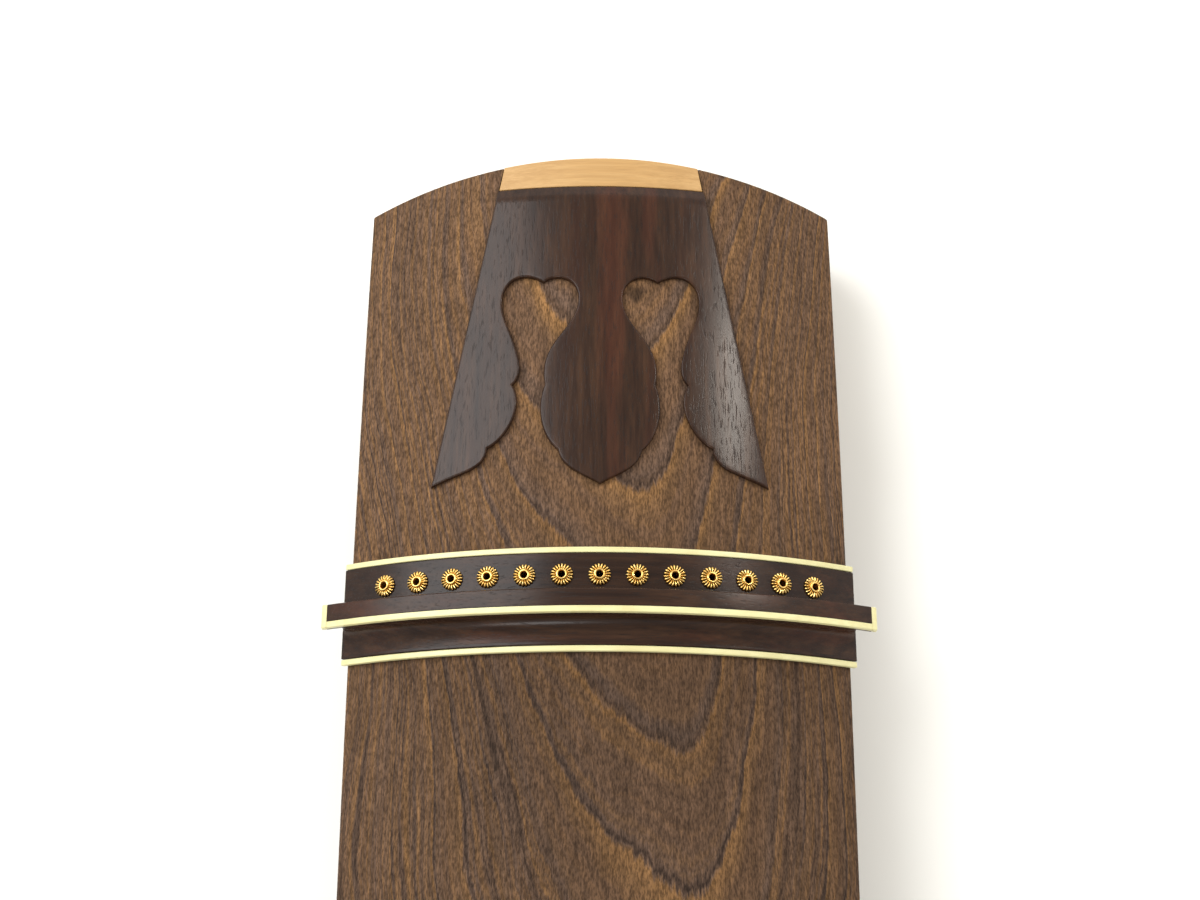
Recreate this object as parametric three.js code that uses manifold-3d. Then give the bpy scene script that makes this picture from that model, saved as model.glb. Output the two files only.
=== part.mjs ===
// A thirteen-string koto, unstrung, standing on its hind feet and its detachable foreleg stand.
// Millimetres, +Z up. The long axis is Y with the tail towards +Y and the head towards -Y.
// The glued pieces are drawn on a straight body and then carried to their place by onBody(),
// which gives the body its taper and its lengthwise bow.
import * as THREE from 'three';
import { mergeVertices } from 'three/addons/utils/BufferGeometryUtils.js';
import Module from 'manifold-3d';

const wasm = await Module();
wasm.setup();

// Body
const HALF_LENGTH = 910;
const HALF_WIDTH = 120;
const WIDTH_TAPER = 0.0047;
const TAIL_CURVE_START = 597;
const TAIL_CURVE_RADIUS = 16100;
const BOW_RADIUS = 20000;
const ARCH_RADIUS = 229.3;
const CROWN_HEIGHT = 78;
const RIM_HALF_WIDTH = 117;
const BACK_THICKNESS = 10;
const HOLLOW_HALF_WIDTH = 101;
const HOLLOW_EDGE_HEIGHT = 33;
const HOLLOW_CROWN_HEIGHT = 55;
const TAIL_END_SAGITTA = 17.6;
const BODY_STEPS = 13;
const GAP = 0.3;

// Inner boards and ends
const BAFFLE_THICKNESS = 12;
const HEAD_BAFFLE_Y = -862;
const TAIL_BAFFLE_Y = 862;
const BRACE_THICKNESS = 8;
const BRACE_SPACING = 420;
const WINDOW_HEIGHT = 31;
const WINDOW_HALF_LENGTH = 58;
const WINDOW_HALF_HEIGHT = 13;
const END_BOARD_THICKNESS = 10;
const TONGUE_HALF_WIDTH = 76;
const TONGUE_BASE_HEIGHT = 9;
const TONGUE_SIDE_HEIGHT = 30;
const TONGUE_RISE = 32;
const TONGUE_CORNER = 14;
const TONGUE_THICKNESS = 4;
const TONGUE_BORDER = 3;
const SIDE_STRIP_LENGTH = 150;
const SIDE_STRIP_DEPTH = 3;
const SIDE_STRIP_LOW = 14;
const SIDE_STRIP_HIGH = 32;
const SIDE_STRIP_POINT = 12;

// Ridge assemblies, measured from the crest's tail-side edge
const TAIL_RIDGE_Y = 677;
const HEAD_RIDGE_Y = -800;
const BASE_THICKNESS = 3;
const BASE_OVERHANG = 2.2;
const BASE_INNER_EDGE = -18.2;
const BASE_OUTER_EDGE = 31.2;
const BORDER_WIDTH = 2.7;
const CREST_HEIGHT = 16;
const CREST_ARCH_RADIUS = 255;
const BAR_HALF_LENGTH = 129;
const BAR_BACK = 8.4;
const BAR_TIP_HEIGHT = 4.6;
const STRIP_WIDTH = 2.8;
const STRIP_HEIGHT = 3.2;
const CAP_THICKNESS = 2.4;
const BAR_STEPS = 20;

// String eyelets
const STRING_COUNT = 13;
const EYELET_PITCH = 17.62;
const EYELET_Y = 17.7;
const EYELET_RADIUS = 5.15;
const EYELET_SLEEVE_RADIUS = 2.4;
const EYELET_BORE_RADIUS = 1.65;
const STRING_HOLE_RADIUS = 2.7;
const STRING_HOLE_DEPTH = 36;

// Oak-leaf overlay and the string rest at the tail end, measured from the tail ridge
const OVERLAY_THICKNESS = 2.8;
const LEAF_TIP = { x: 81.6, y: 64.2 };
const REST_INNER_EDGE = 217.1;
const REST_HALF_WIDTH = 52.9;
const REST_DEPTH = 14;

// Sound holes, feet and stand
const SOUND_HOLES = [{ y: -720, length: 130 }, { y: 775, length: 130 }];
const SOUND_HOLE_HALF_WIDTH = 44;
const HIND_FOOT_X = 84;
const HIND_FOOT_Y = 690;
const HIND_FOOT_HEIGHT = 26.6;
const HIND_FOOT_TOP = 30;
const HIND_FOOT_SOLE = 22;
const HIND_FOOT_THICKNESS = 26;
const STAND_LEG_X = 84;
const LEG_SHOULDER = 19;
const LEG_THICKNESS = 22;
const TENON_LENGTH = 14;
const TENON_HALF_WIDTH = 11;
const TENON_CLEARANCE = 0.5;
const RAIL_TOP = 6;
const RAIL_HEIGHT = 15;
const RAIL_THICKNESS = 12;

// Spare length by which a rough solid passes the surface that trims it
const SPARE = 5;

const EDGE_HEIGHT = CROWN_HEIGHT - archDrop(HALF_WIDTH, ARCH_RADIUS);
const ARCH_CENTRE = CROWN_HEIGHT - ARCH_RADIUS;
const TILT = -HEAD_RIDGE_Y / BOW_RADIUS;

const paulownia = new THREE.MeshStandardMaterial({ color: 0x6b4a30, roughness: 0.62, metalness: 0 });
const plainWood = new THREE.MeshStandardMaterial({ color: 0xb48b5c, roughness: 0.7, metalness: 0 });
const rosewood = new THREE.MeshStandardMaterial({ color: 0x35251e, roughness: 0.42, metalness: 0 });
const palewood = new THREE.MeshStandardMaterial({ color: 0xd0a268, roughness: 0.5, metalness: 0 });
const ivory = new THREE.MeshStandardMaterial({ color: 0xf3e5b4, roughness: 0.35, metalness: 0 });
const gilt = new THREE.MeshStandardMaterial({ color: 0xcf9c34, roughness: 0.3, metalness: 1 });

function archDrop(x, radius) {
  return radius - Math.sqrt(radius * radius - x * x);
}

function halfWidth(y) {
  const curve = Math.max(y - TAIL_CURVE_START, 0);
  return HALF_WIDTH - WIDTH_TAPER * (y - TAIL_RIDGE_Y) - (curve * curve) / (2 * TAIL_CURVE_RADIUS);
}

// Carries a point of the straight body to the tapered and bowed one.
function onBody(x, y, z) {
  const wide = x * (halfWidth(y) / HALF_WIDTH);
  const share = THREE.MathUtils.clamp((z - BACK_THICKNESS) / (EDGE_HEIGHT - BACK_THICKNESS), 0, 1);
  const lift = share * (archDrop(x, ARCH_RADIUS) - archDrop(wide, ARCH_RADIUS));
  const turn = y / BOW_RADIUS;
  const reach = BOW_RADIUS + z + lift;
  return new THREE.Vector3(wide, reach * Math.sin(turn), reach * Math.cos(turn) - BOW_RADIUS);
}

function reshape(geometry, place) {
  const position = geometry.attributes.position;
  for (let i = 0; i < position.count; i++) {
    const point = place(position.getX(i), position.getY(i), position.getZ(i));
    position.setXYZ(i, point.x, point.y, point.z);
  }
  return geometry;
}

function toBody(geometry) {
  return reshape(geometry, onBody);
}

// Booleans
function toSolid(geometry) {
  const bare = geometry.clone();
  bare.deleteAttribute('normal');
  bare.deleteAttribute('uv');
  const merged = mergeVertices(bare, 1e-4);
  const vertProperties = new Float32Array(merged.attributes.position.array);
  const triVerts = new Uint32Array(merged.index.array);
  return new wasm.Manifold(new wasm.Mesh({ numProp: 3, vertProperties, triVerts }));
}

function toGeometry(solid) {
  const { vertProperties, triVerts } = solid.getMesh();
  const geometry = new THREE.BufferGeometry();
  geometry.setAttribute('position', new THREE.BufferAttribute(new Float32Array(vertProperties), 3));
  geometry.setIndex(new THREE.BufferAttribute(new Uint32Array(triVerts), 1));
  geometry.computeVertexNormals();
  return geometry;
}

function cut(geometry, ...tools) {
  let solid = toSolid(geometry);
  for (const tool of tools) {
    solid = solid.subtract(toSolid(tool));
  }
  return toGeometry(solid);
}

function common(geometry, tool) {
  return toGeometry(toSolid(geometry).intersect(toSolid(tool)));
}

// Extrusions: a section in X and Z along Y, a plan in X and Y upwards, a profile in Y and Z along X
function alongY(shape, yFrom, yTo, steps = 1, curveSegments = 10) {
  const options = { depth: yTo - yFrom, steps, curveSegments, bevelEnabled: false };
  return new THREE.ExtrudeGeometry(shape, options).rotateX(Math.PI / 2).translate(0, yTo, 0);
}

function upwards(shape, zFrom, zTo, curveSegments = 6) {
  const options = { depth: zTo - zFrom, curveSegments, bevelEnabled: false };
  return new THREE.ExtrudeGeometry(shape, options).translate(0, 0, zFrom);
}

function alongX(shape, xFrom, xTo, steps = 1) {
  const options = { depth: xTo - xFrom, steps, curveSegments: 4, bevelEnabled: false };
  const turn = new THREE.Matrix4().makeBasis(
    new THREE.Vector3(0, 1, 0),
    new THREE.Vector3(0, 0, 1),
    new THREE.Vector3(1, 0, 0),
  );
  return new THREE.ExtrudeGeometry(shape, options).applyMatrix4(turn).translate(xFrom, 0, 0);
}

function polygon(points) {
  return new THREE.Shape(points.map(([a, b]) => new THREE.Vector2(a, b)));
}

// Adds an arch from x = from.x to x = -from.x, over a centre on the Z axis.
function archTo(shape, from, crown) {
  const half = Math.abs(from.x);
  const rise = crown - from.z;
  const radius = (half * half + rise * rise) / (2 * rise);
  const angle = Math.asin(half / radius);
  const right = Math.PI / 2 - angle;
  const left = Math.PI / 2 + angle;
  const clockwise = from.x < 0;
  shape.absarc(0, crown - radius, radius, clockwise ? left : right, clockwise ? right : left, clockwise);
}

// A section that follows the top board's arch between two heights above it
function archBand(half, low, high) {
  const angle = Math.asin(half / ARCH_RADIUS);
  const right = Math.PI / 2 - angle;
  const left = Math.PI / 2 + angle;
  const band = new THREE.Shape();
  band.absarc(0, ARCH_CENTRE, ARCH_RADIUS + low, left, right, true);
  band.absarc(0, ARCH_CENTRE, ARCH_RADIUS + high, right, left, false);
  return band;
}

function piece(name, geometry, material) {
  const mesh = new THREE.Mesh(geometry, material);
  mesh.name = name;
  return mesh;
}

// Hull of the body
function shellSection() {
  const shape = new THREE.Shape();
  const rim = BACK_THICKNESS + GAP;
  shape.moveTo(HOLLOW_HALF_WIDTH, rim);
  shape.lineTo(RIM_HALF_WIDTH, rim);
  shape.lineTo(HALF_WIDTH, EDGE_HEIGHT);
  archTo(shape, { x: HALF_WIDTH, z: EDGE_HEIGHT }, CROWN_HEIGHT);
  shape.lineTo(-RIM_HALF_WIDTH, rim);
  shape.lineTo(-HOLLOW_HALF_WIDTH, rim);
  shape.lineTo(-HOLLOW_HALF_WIDTH, HOLLOW_EDGE_HEIGHT);
  archTo(shape, { x: -HOLLOW_HALF_WIDTH, z: HOLLOW_EDGE_HEIGHT }, HOLLOW_CROWN_HEIGHT);
  return shape;
}

function hollowSection() {
  const half = HOLLOW_HALF_WIDTH - GAP;
  const edge = HOLLOW_EDGE_HEIGHT - GAP;
  const shape = new THREE.Shape();
  shape.moveTo(-half, BACK_THICKNESS + GAP);
  shape.lineTo(half, BACK_THICKNESS + GAP);
  shape.lineTo(half, edge);
  archTo(shape, { x: half, z: edge }, HOLLOW_CROWN_HEIGHT - 2 * GAP);
  return shape;
}

// Plan of the body's tail end, which bulges a little at its middle
function tailTrim() {
  const radius = (HALF_WIDTH * HALF_WIDTH) / (2 * TAIL_END_SAGITTA);
  const half = HALF_WIDTH + SPARE;
  const angle = Math.asin(half / radius);
  const plan = new THREE.Shape();
  plan.moveTo(-half, -HALF_LENGTH - SPARE);
  plan.lineTo(half, -HALF_LENGTH - SPARE);
  plan.absarc(0, HALF_LENGTH - radius, radius, Math.PI / 2 - angle, Math.PI / 2 + angle, false);
  return toBody(upwards(plan, -SPARE, CROWN_HEIGHT + SPARE, 12));
}

function restPlan(inset) {
  const lean = (LEAF_TIP.x - REST_HALF_WIDTH) / (REST_INNER_EDGE - LEAF_TIP.y);
  const inner = TAIL_RIDGE_Y + REST_INNER_EDGE + inset;
  const outer = HALF_LENGTH + SPARE;
  const nearHalf = REST_HALF_WIDTH - inset - lean * inset;
  const farHalf = nearHalf - lean * (outer - inner);
  return polygon([[-nearHalf, inner], [nearHalf, inner], [farHalf, outer], [-farHalf, outer]]);
}

function stringSeats(ridgeY, side) {
  const seats = [];
  for (let i = 0; i < STRING_COUNT; i++) {
    const angle = ((i - (STRING_COUNT - 1) / 2) * EYELET_PITCH) / (ARCH_RADIUS + BASE_THICKNESS);
    const at = (height) => onBody(
      (ARCH_RADIUS + height) * Math.sin(angle),
      ridgeY + side * EYELET_Y,
      ARCH_CENTRE + (ARCH_RADIUS + height) * Math.cos(angle),
    );
    const foot = at(BASE_THICKNESS);
    const normal = at(BASE_THICKNESS + 10).sub(foot).normalize();
    const turn = new THREE.Quaternion().setFromUnitVectors(new THREE.Vector3(0, 0, 1), normal);
    seats.push({ position: foot, turn });
  }
  return seats;
}

function stringDrills(ridgeY, side) {
  const above = 2 * SPARE;
  return stringSeats(ridgeY, side).map(({ position, turn }) => {
    const length = STRING_HOLE_DEPTH + above;
    const drill = new THREE.CylinderGeometry(STRING_HOLE_RADIUS, STRING_HOLE_RADIUS, length, 8);
    drill.rotateX(Math.PI / 2).translate(0, 0, above - length / 2);
    return drill.applyQuaternion(turn).translate(position.x, position.y, position.z);
  });
}

// The pocket has no inset, and it opens through the head end of the shell.
function sideStripProfile(inset) {
  const shellEnd = -HALF_LENGTH + END_BOARD_THICKNESS;
  const start = shellEnd + (inset > 0 ? inset : -SPARE);
  const end = shellEnd + SIDE_STRIP_LENGTH - inset;
  const low = SIDE_STRIP_LOW + inset;
  const high = SIDE_STRIP_HIGH - inset;
  const point = end + SIDE_STRIP_POINT;
  return polygon([[start, low], [end, low], [point, (low + high) / 2], [end, high], [start, high]]);
}

// A slab of the body's tail end, wide enough for the string rest, between two heights above the board
function restBand(low, high) {
  const band = archBand(REST_HALF_WIDTH + SPARE, low, high);
  return toBody(alongY(band, TAIL_RIDGE_Y + REST_INNER_EDGE - SPARE, HALF_LENGTH + SPARE, 1, 5));
}

// The strip's pocket and the strip itself lean with the side wall.
function sideStrip(side, inset, outward) {
  const inner = RIM_HALF_WIDTH - SIDE_STRIP_DEPTH + inset;
  const outer = RIM_HALF_WIDTH + outward;
  const [from, to] = side > 0 ? [inner, outer] : [-outer, -inner];
  const block = alongX(sideStripProfile(inset), from, to);
  const lean = (HALF_WIDTH - RIM_HALF_WIDTH) / (EDGE_HEIGHT - BACK_THICKNESS);
  const tilted = reshape(block, (x, y, z) => ({ x: x + side * lean * (z - BACK_THICKNESS), y, z }));
  return toBody(tilted);
}

function topShell() {
  const start = -HALF_LENGTH + END_BOARD_THICKNESS + GAP;
  const hull = toBody(alongY(shellSection(), start, HALF_LENGTH + SPARE, BODY_STEPS));
  const restPrism = toBody(upwards(restPlan(0), 0, CROWN_HEIGHT + SPARE));
  const restPocket = common(restPrism, restBand(-REST_DEPTH, SPARE));
  const drills = [...stringDrills(TAIL_RIDGE_Y, 1), ...stringDrills(HEAD_RIDGE_Y, -1)];
  const pockets = [sideStrip(1, 0, SPARE), sideStrip(-1, 0, SPARE)];
  return piece('top_shell', cut(common(hull, tailTrim()), restPocket, ...pockets, ...drills), paulownia);
}

function roundedBox(half, yFrom, yTo, radius) {
  const shape = new THREE.Shape();
  shape.absarc(half - radius, yTo - radius, radius, 0, Math.PI / 2);
  shape.absarc(-half + radius, yTo - radius, radius, Math.PI / 2, Math.PI);
  shape.absarc(-half + radius, yFrom + radius, radius, Math.PI, 1.5 * Math.PI);
  shape.absarc(half - radius, yFrom + radius, radius, 1.5 * Math.PI, 2 * Math.PI);
  return shape;
}

function soundHole({ y, length }) {
  const plan = roundedBox(SOUND_HOLE_HALF_WIDTH, y - length / 2, y + length / 2, SOUND_HOLE_HALF_WIDTH - 2);
  return toBody(upwards(plan, -SPARE, BACK_THICKNESS + SPARE, 5));
}

function standSocket(side) {
  const length = 2 * (TENON_HALF_WIDTH + TENON_CLEARANCE);
  const width = LEG_THICKNESS + 2 * TENON_CLEARANCE;
  const socket = new THREE.BoxGeometry(length, width, BACK_THICKNESS + 2 * SPARE);
  return toBody(socket.translate(side * STAND_LEG_X, HEAD_RIDGE_Y, BACK_THICKNESS / 2));
}

function backBoard() {
  const start = -HALF_LENGTH + END_BOARD_THICKNESS + GAP;
  const foot = RIM_HALF_WIDTH - 1;
  const rim = RIM_HALF_WIDTH;
  const section = polygon([[-foot, 0], [foot, 0], [rim, BACK_THICKNESS], [-rim, BACK_THICKNESS]]);
  const board = toBody(alongY(section, start, HALF_LENGTH + SPARE, BODY_STEPS));
  const openings = [...SOUND_HOLES.map(soundHole), standSocket(1), standSocket(-1)];
  return piece('back_board', cut(common(board, tailTrim()), ...openings), paulownia);
}

// Boards inside the hollow
function hollowPlug(name, yFrom, yTo) {
  return piece(name, toBody(alongY(hollowSection(), yFrom, yTo, 1, 6)), plainWood);
}

function innerBrace(name, y) {
  const section = hollowSection();
  const window = new THREE.Path();
  window.absellipse(0, WINDOW_HEIGHT, WINDOW_HALF_LENGTH, WINDOW_HALF_HEIGHT, 0, 2 * Math.PI, true);
  section.holes.push(window);
  const board = alongY(section, y - BRACE_THICKNESS / 2, y + BRACE_THICKNESS / 2, 1, 6);
  return piece(name, toBody(board), plainWood);
}

function tailEndBlock() {
  const start = TAIL_BAFFLE_Y + BAFFLE_THICKNESS / 2 + GAP;
  const block = toBody(alongY(hollowSection(), start, HALF_LENGTH + SPARE, 1, 6));
  return piece('tail_end_block', common(block, tailTrim()), paulownia);
}

// Head end: board, tongue panel and its border
function fullSection() {
  const shape = new THREE.Shape();
  shape.moveTo(-RIM_HALF_WIDTH + 1, 0);
  shape.lineTo(RIM_HALF_WIDTH - 1, 0);
  shape.lineTo(HALF_WIDTH, EDGE_HEIGHT);
  archTo(shape, { x: HALF_WIDTH, z: EDGE_HEIGHT }, CROWN_HEIGHT);
  return shape;
}

function tongueSection(grow) {
  const half = TONGUE_HALF_WIDTH + grow;
  const side = TONGUE_SIDE_HEIGHT + grow;
  const shape = new THREE.Shape();
  const foot = TONGUE_BASE_HEIGHT - grow;
  shape.moveTo(-half + TONGUE_CORNER, foot);
  shape.lineTo(half - TONGUE_CORNER, foot);
  shape.quadraticCurveTo(half, foot, half, side);
  archTo(shape, { x: half, z: side }, side + TONGUE_RISE);
  shape.quadraticCurveTo(-half, foot, -half + TONGUE_CORNER, foot);
  return shape;
}

function headEnd() {
  const face = -HALF_LENGTH;
  const group = new THREE.Group();
  const board = toBody(alongY(fullSection(), face, face + END_BOARD_THICKNESS));
  group.add(piece('head_end_board', board, rosewood));
  const panel = alongY(tongueSection(0), face - TONGUE_THICKNESS, face - GAP, 1, 5);
  group.add(piece('head_tongue', toBody(panel), rosewood));
  const ring = tongueSection(GAP + TONGUE_BORDER);
  ring.holes.push(new THREE.Path(tongueSection(GAP).getPoints(5)));
  const border = alongY(ring, face - TONGUE_THICKNESS + 1, face - GAP, 1, 5);
  group.add(piece('head_tongue_border', toBody(border), ivory));
  for (const side of [-1, 1]) {
    const name = side > 0 ? 'side_strip_right' : 'side_strip_left';
    group.add(piece(name, sideStrip(side, GAP, 0), rosewood));
  }
  return group;
}

// Tail end: oak-leaf overlay and string rest
function leafOutline() {
  const outline = new THREE.Shape();
  const halfTop = REST_HALF_WIDTH;
  outline.moveTo(halfTop, REST_INNER_EDGE - GAP);
  outline.lineTo(-halfTop, REST_INNER_EDGE - GAP);
  outline.lineTo(-LEAF_TIP.x, LEAF_TIP.y);
  // Each lobe is one curve that ends in a cusp; the right half mirrors the left one.
  const lobes = [
    [66.6, 71, 55.5, 70, 54.5, 81.4],
    [45.4, 85, 35.9, 102, 43, 112.7],
    [35.5, 119, 42.2, 133, 47.2, 146],
    [53.6, 162, 44, 175, 28.5, 165.4],
    [21.5, 170.5, 8.7, 167, 11.4, 152.5],
    [14.8, 138, 31, 133, 27.1, 112],
    [31.4, 101, 28.8, 86, 20.2, 79],
    [18.2, 69, 6, 66.5, 0, 62.1],
  ];
  for (const [ax, ay, bx, by, x, y] of lobes) {
    outline.bezierCurveTo(-ax, ay, -bx, by, -x, y);
  }
  for (let i = lobes.length - 1; i >= 0; i--) {
    const [ax, ay, bx, by] = lobes[i];
    const end = i > 0 ? lobes[i - 1].slice(4) : [LEAF_TIP.x, LEAF_TIP.y];
    outline.bezierCurveTo(bx, by, ax, ay, ...end);
  }
  return outline;
}

function leafOverlay() {
  const stencil = upwards(leafOutline(), EDGE_HEIGHT, CROWN_HEIGHT + SPARE, 5).translate(0, TAIL_RIDGE_Y, 0);
  const start = TAIL_RIDGE_Y + LEAF_TIP.y - 2 * SPARE;
  const end = TAIL_RIDGE_Y + REST_INNER_EDGE + SPARE;
  const sheet = alongY(archBand(LEAF_TIP.x + SPARE, GAP, OVERLAY_THICKNESS), start, end, 3, 8);
  return piece('oak_leaf_overlay', common(toBody(sheet), toBody(stencil)), rosewood);
}

function tailStringRest() {
  const plan = toBody(upwards(restPlan(GAP), 0, CROWN_HEIGHT + SPARE));
  const block = common(restBand(-REST_DEPTH + GAP, 0), plan);
  return piece('tail_string_rest', common(block, tailTrim()), palewood);
}

// Ridge assembly: base strip, two borders, bar, crest strip, two end caps and the eyelets
function crestHeight(x) {
  return CROWN_HEIGHT + CREST_HEIGHT - archDrop(x, CREST_ARCH_RADIUS);
}

// The bar stands on the base strip and its free tips thin out from below.
function barFoot(x) {
  const seat = ARCH_RADIUS + BASE_THICKNESS + GAP;
  const baseEnd = HALF_WIDTH + BASE_OVERHANG;
  const reach = Math.min(Math.abs(x), baseEnd);
  const foot = ARCH_CENTRE + Math.sqrt(seat * seat - reach * reach);
  const out = THREE.MathUtils.clamp((Math.abs(x) - baseEnd) / (BAR_HALF_LENGTH - baseEnd), 0, 1);
  return THREE.MathUtils.lerp(foot, crestHeight(x) - BAR_TIP_HEIGHT, out);
}

// Profiles of the bar have their height as a share: 0 at the foot, 1 under the strip, 2 at the crest.
function onBar(x, y, share) {
  const crest = crestHeight(x);
  const shoulder = crest - STRIP_HEIGHT;
  const z = share > 1 ? THREE.MathUtils.lerp(shoulder, crest, share - 1)
    : THREE.MathUtils.lerp(barFoot(x), shoulder, share);
  return { x, y, z };
}

function ridgeStrip(yFrom, yTo, ridgeY, side) {
  const band = archBand(HALF_WIDTH + BASE_OVERHANG, GAP, BASE_THICKNESS);
  const [near, far] = side > 0 ? [yFrom, yTo] : [-yTo, -yFrom];
  return toBody(alongY(band, ridgeY + near, ridgeY + far));
}

function sweptBar(profile, half, ridgeY, side) {
  const points = profile.map(([y, share]) => [side * y, share]);
  const swept = alongX(polygon(side > 0 ? points : points.reverse()), -half, half, BAR_STEPS);
  return toBody(reshape(swept, onBar).translate(0, ridgeY, 0));
}

function endCap(end, ridgeY, side) {
  const inner = BAR_HALF_LENGTH + GAP;
  const crest = crestHeight(BAR_HALF_LENGTH);
  const cap = new THREE.BoxGeometry(CAP_THICKNESS, BAR_BACK + STRIP_WIDTH, BAR_TIP_HEIGHT);
  const middle = (side * (BAR_BACK - STRIP_WIDTH)) / 2;
  cap.translate(end * (inner + CAP_THICKNESS / 2), ridgeY + middle, crest - BAR_TIP_HEIGHT / 2);
  return toBody(cap);
}

function eyelet(name, { position, turn }) {
  const profile = [
    [EYELET_BORE_RADIUS, -5],
    [EYELET_SLEEVE_RADIUS, -5],
    [EYELET_SLEEVE_RADIUS, GAP],
    [EYELET_RADIUS, GAP],
    [EYELET_SLEEVE_RADIUS + 0.4, 1.8],
    [EYELET_SLEEVE_RADIUS, 2.8],
    [EYELET_BORE_RADIUS, 2.8],
    [EYELET_BORE_RADIUS, -5],
  ];
  const turned = new THREE.LatheGeometry(profile.map(([r, z]) => new THREE.Vector2(r, z)), 8);
  const mesh = piece(name, turned.rotateX(Math.PI / 2), gilt);
  mesh.position.copy(position);
  mesh.quaternion.copy(turn);
  return mesh;
}

// side is 1 where the eyelets lie towards +Y and -1 where they lie towards -Y.
function ridge(name, eyeletName, ridgeY, side) {
  const group = new THREE.Group();
  const innerBorder = BASE_INNER_EDGE + BORDER_WIDTH;
  const outerBorder = BASE_OUTER_EDGE - BORDER_WIDTH;
  const base = ridgeStrip(innerBorder + GAP, outerBorder - GAP, ridgeY, side);
  const inner = ridgeStrip(BASE_INNER_EDGE, innerBorder, ridgeY, side);
  const outer = ridgeStrip(outerBorder, BASE_OUTER_EDGE, ridgeY, side);
  group.add(piece(`${name}_base`, cut(base, ...stringDrills(ridgeY, side)), rosewood));
  group.add(piece(`${name}_inner_border`, inner, ivory));
  group.add(piece(`${name}_outer_border`, outer, ivory));
  // Back face, flat top, rabbet for the crest strip, then a cove that runs out on the base strip
  const barProfile = [
    [BAR_BACK, 0], [BAR_BACK, 2], [GAP, 2], [GAP, 1], [-STRIP_WIDTH + 0.2, 1],
    [-STRIP_WIDTH - 0.4, 0.45], [-STRIP_WIDTH - 2.2, 0.14], [-STRIP_WIDTH - 5, 0.03], [-STRIP_WIDTH - 5, 0],
  ];
  group.add(piece(`${name}_bar`, sweptBar(barProfile, BAR_HALF_LENGTH, ridgeY, side), rosewood));
  const under = 1 + GAP / STRIP_HEIGHT;
  const stripProfile = [[0, under], [0, 2], [-STRIP_WIDTH, 2], [-STRIP_WIDTH, under]];
  group.add(piece(`${name}_crest_strip`, sweptBar(stripProfile, BAR_HALF_LENGTH, ridgeY, side), ivory));
  group.add(piece(`${name}_cap_left`, endCap(-1, ridgeY, side), ivory));
  group.add(piece(`${name}_cap_right`, endCap(1, ridgeY, side), ivory));
  stringSeats(ridgeY, side).forEach((seat, i) => {
    group.add(eyelet(`${eyeletName}_${i + 1}`, seat));
  });
  return group;
}

// Feet
const X_AXIS = new THREE.Vector3(1, 0, 0);
const FLOOR = onBody(0, HIND_FOOT_Y, 0).applyAxisAngle(X_AXIS, -TILT).z - HIND_FOOT_HEIGHT;

function hindFoot(name, side) {
  const top = HIND_FOOT_TOP;
  const sole = HIND_FOOT_SOLE;
  const ankle = -HIND_FOOT_HEIGHT + 5;
  const plate = 5;
  const shape = new THREE.Shape();
  shape.moveTo(-sole, -HIND_FOOT_HEIGHT - SPARE);
  shape.lineTo(sole, -HIND_FOOT_HEIGHT - SPARE);
  shape.lineTo(sole, ankle);
  shape.quadraticCurveTo(sole, -plate, top, -plate);
  shape.lineTo(top, -GAP);
  shape.lineTo(-top, -GAP);
  shape.lineTo(-top, -plate);
  shape.quadraticCurveTo(-sole, -plate, -sole, ankle);
  const half = HIND_FOOT_THICKNESS / 2;
  const block = alongY(shape, HIND_FOOT_Y - half, HIND_FOOT_Y + half, 1, 4);
  block.translate(side * HIND_FOOT_X, 0, 0);
  const depth = 100;
  const below = new THREE.BoxGeometry(4 * HALF_WIDTH, 2 * HALF_LENGTH, depth);
  below.translate(0, 0, FLOOR - depth / 2).rotateX(TILT);
  return piece(name, cut(toBody(block), below), rosewood);
}

// One leg of the stand: tenon, shoulder, curved shank and outward-turned paw
function standLeg(name, side, height) {
  const sole = -height;
  const knee = -0.4 * height;
  const shape = new THREE.Shape();
  shape.moveTo(-15, sole);
  shape.lineTo(17, sole);
  shape.quadraticCurveTo(24, sole + 2, 21, sole + 14);
  shape.bezierCurveTo(8, sole + 26, 10, knee, LEG_SHOULDER, -18);
  shape.lineTo(LEG_SHOULDER, -GAP);
  shape.lineTo(TENON_HALF_WIDTH, -GAP);
  shape.lineTo(TENON_HALF_WIDTH, TENON_LENGTH);
  shape.lineTo(-TENON_HALF_WIDTH, TENON_LENGTH);
  shape.lineTo(-TENON_HALF_WIDTH, -GAP);
  shape.lineTo(-LEG_SHOULDER, -GAP);
  shape.lineTo(-LEG_SHOULDER, -RAIL_TOP - RAIL_HEIGHT);
  shape.bezierCurveTo(-10, knee, -14, sole + 26, -15, sole);
  const leg = alongY(shape, -LEG_THICKNESS / 2, LEG_THICKNESS / 2, 1, 4);
  if (side < 0) {
    leg.rotateZ(Math.PI);
  }
  return piece(name, leg, rosewood);
}

function standRail(halfSpan) {
  const end = halfSpan - LEG_SHOULDER - GAP;
  const low = -RAIL_TOP - RAIL_HEIGHT;
  const waist = low + 0.4 * RAIL_HEIGHT;
  const shape = new THREE.Shape();
  shape.moveTo(-end, -RAIL_TOP);
  shape.lineTo(-end, low);
  shape.quadraticCurveTo(-0.6 * end, low, -0.45 * end, waist);
  shape.lineTo(0.45 * end, waist);
  shape.quadraticCurveTo(0.6 * end, low, end, low);
  shape.lineTo(end, -RAIL_TOP);
  const half = RAIL_THICKNESS / 2;
  return piece('stand_rail', alongY(shape, -half, half, 1, 4), rosewood);
}

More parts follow.
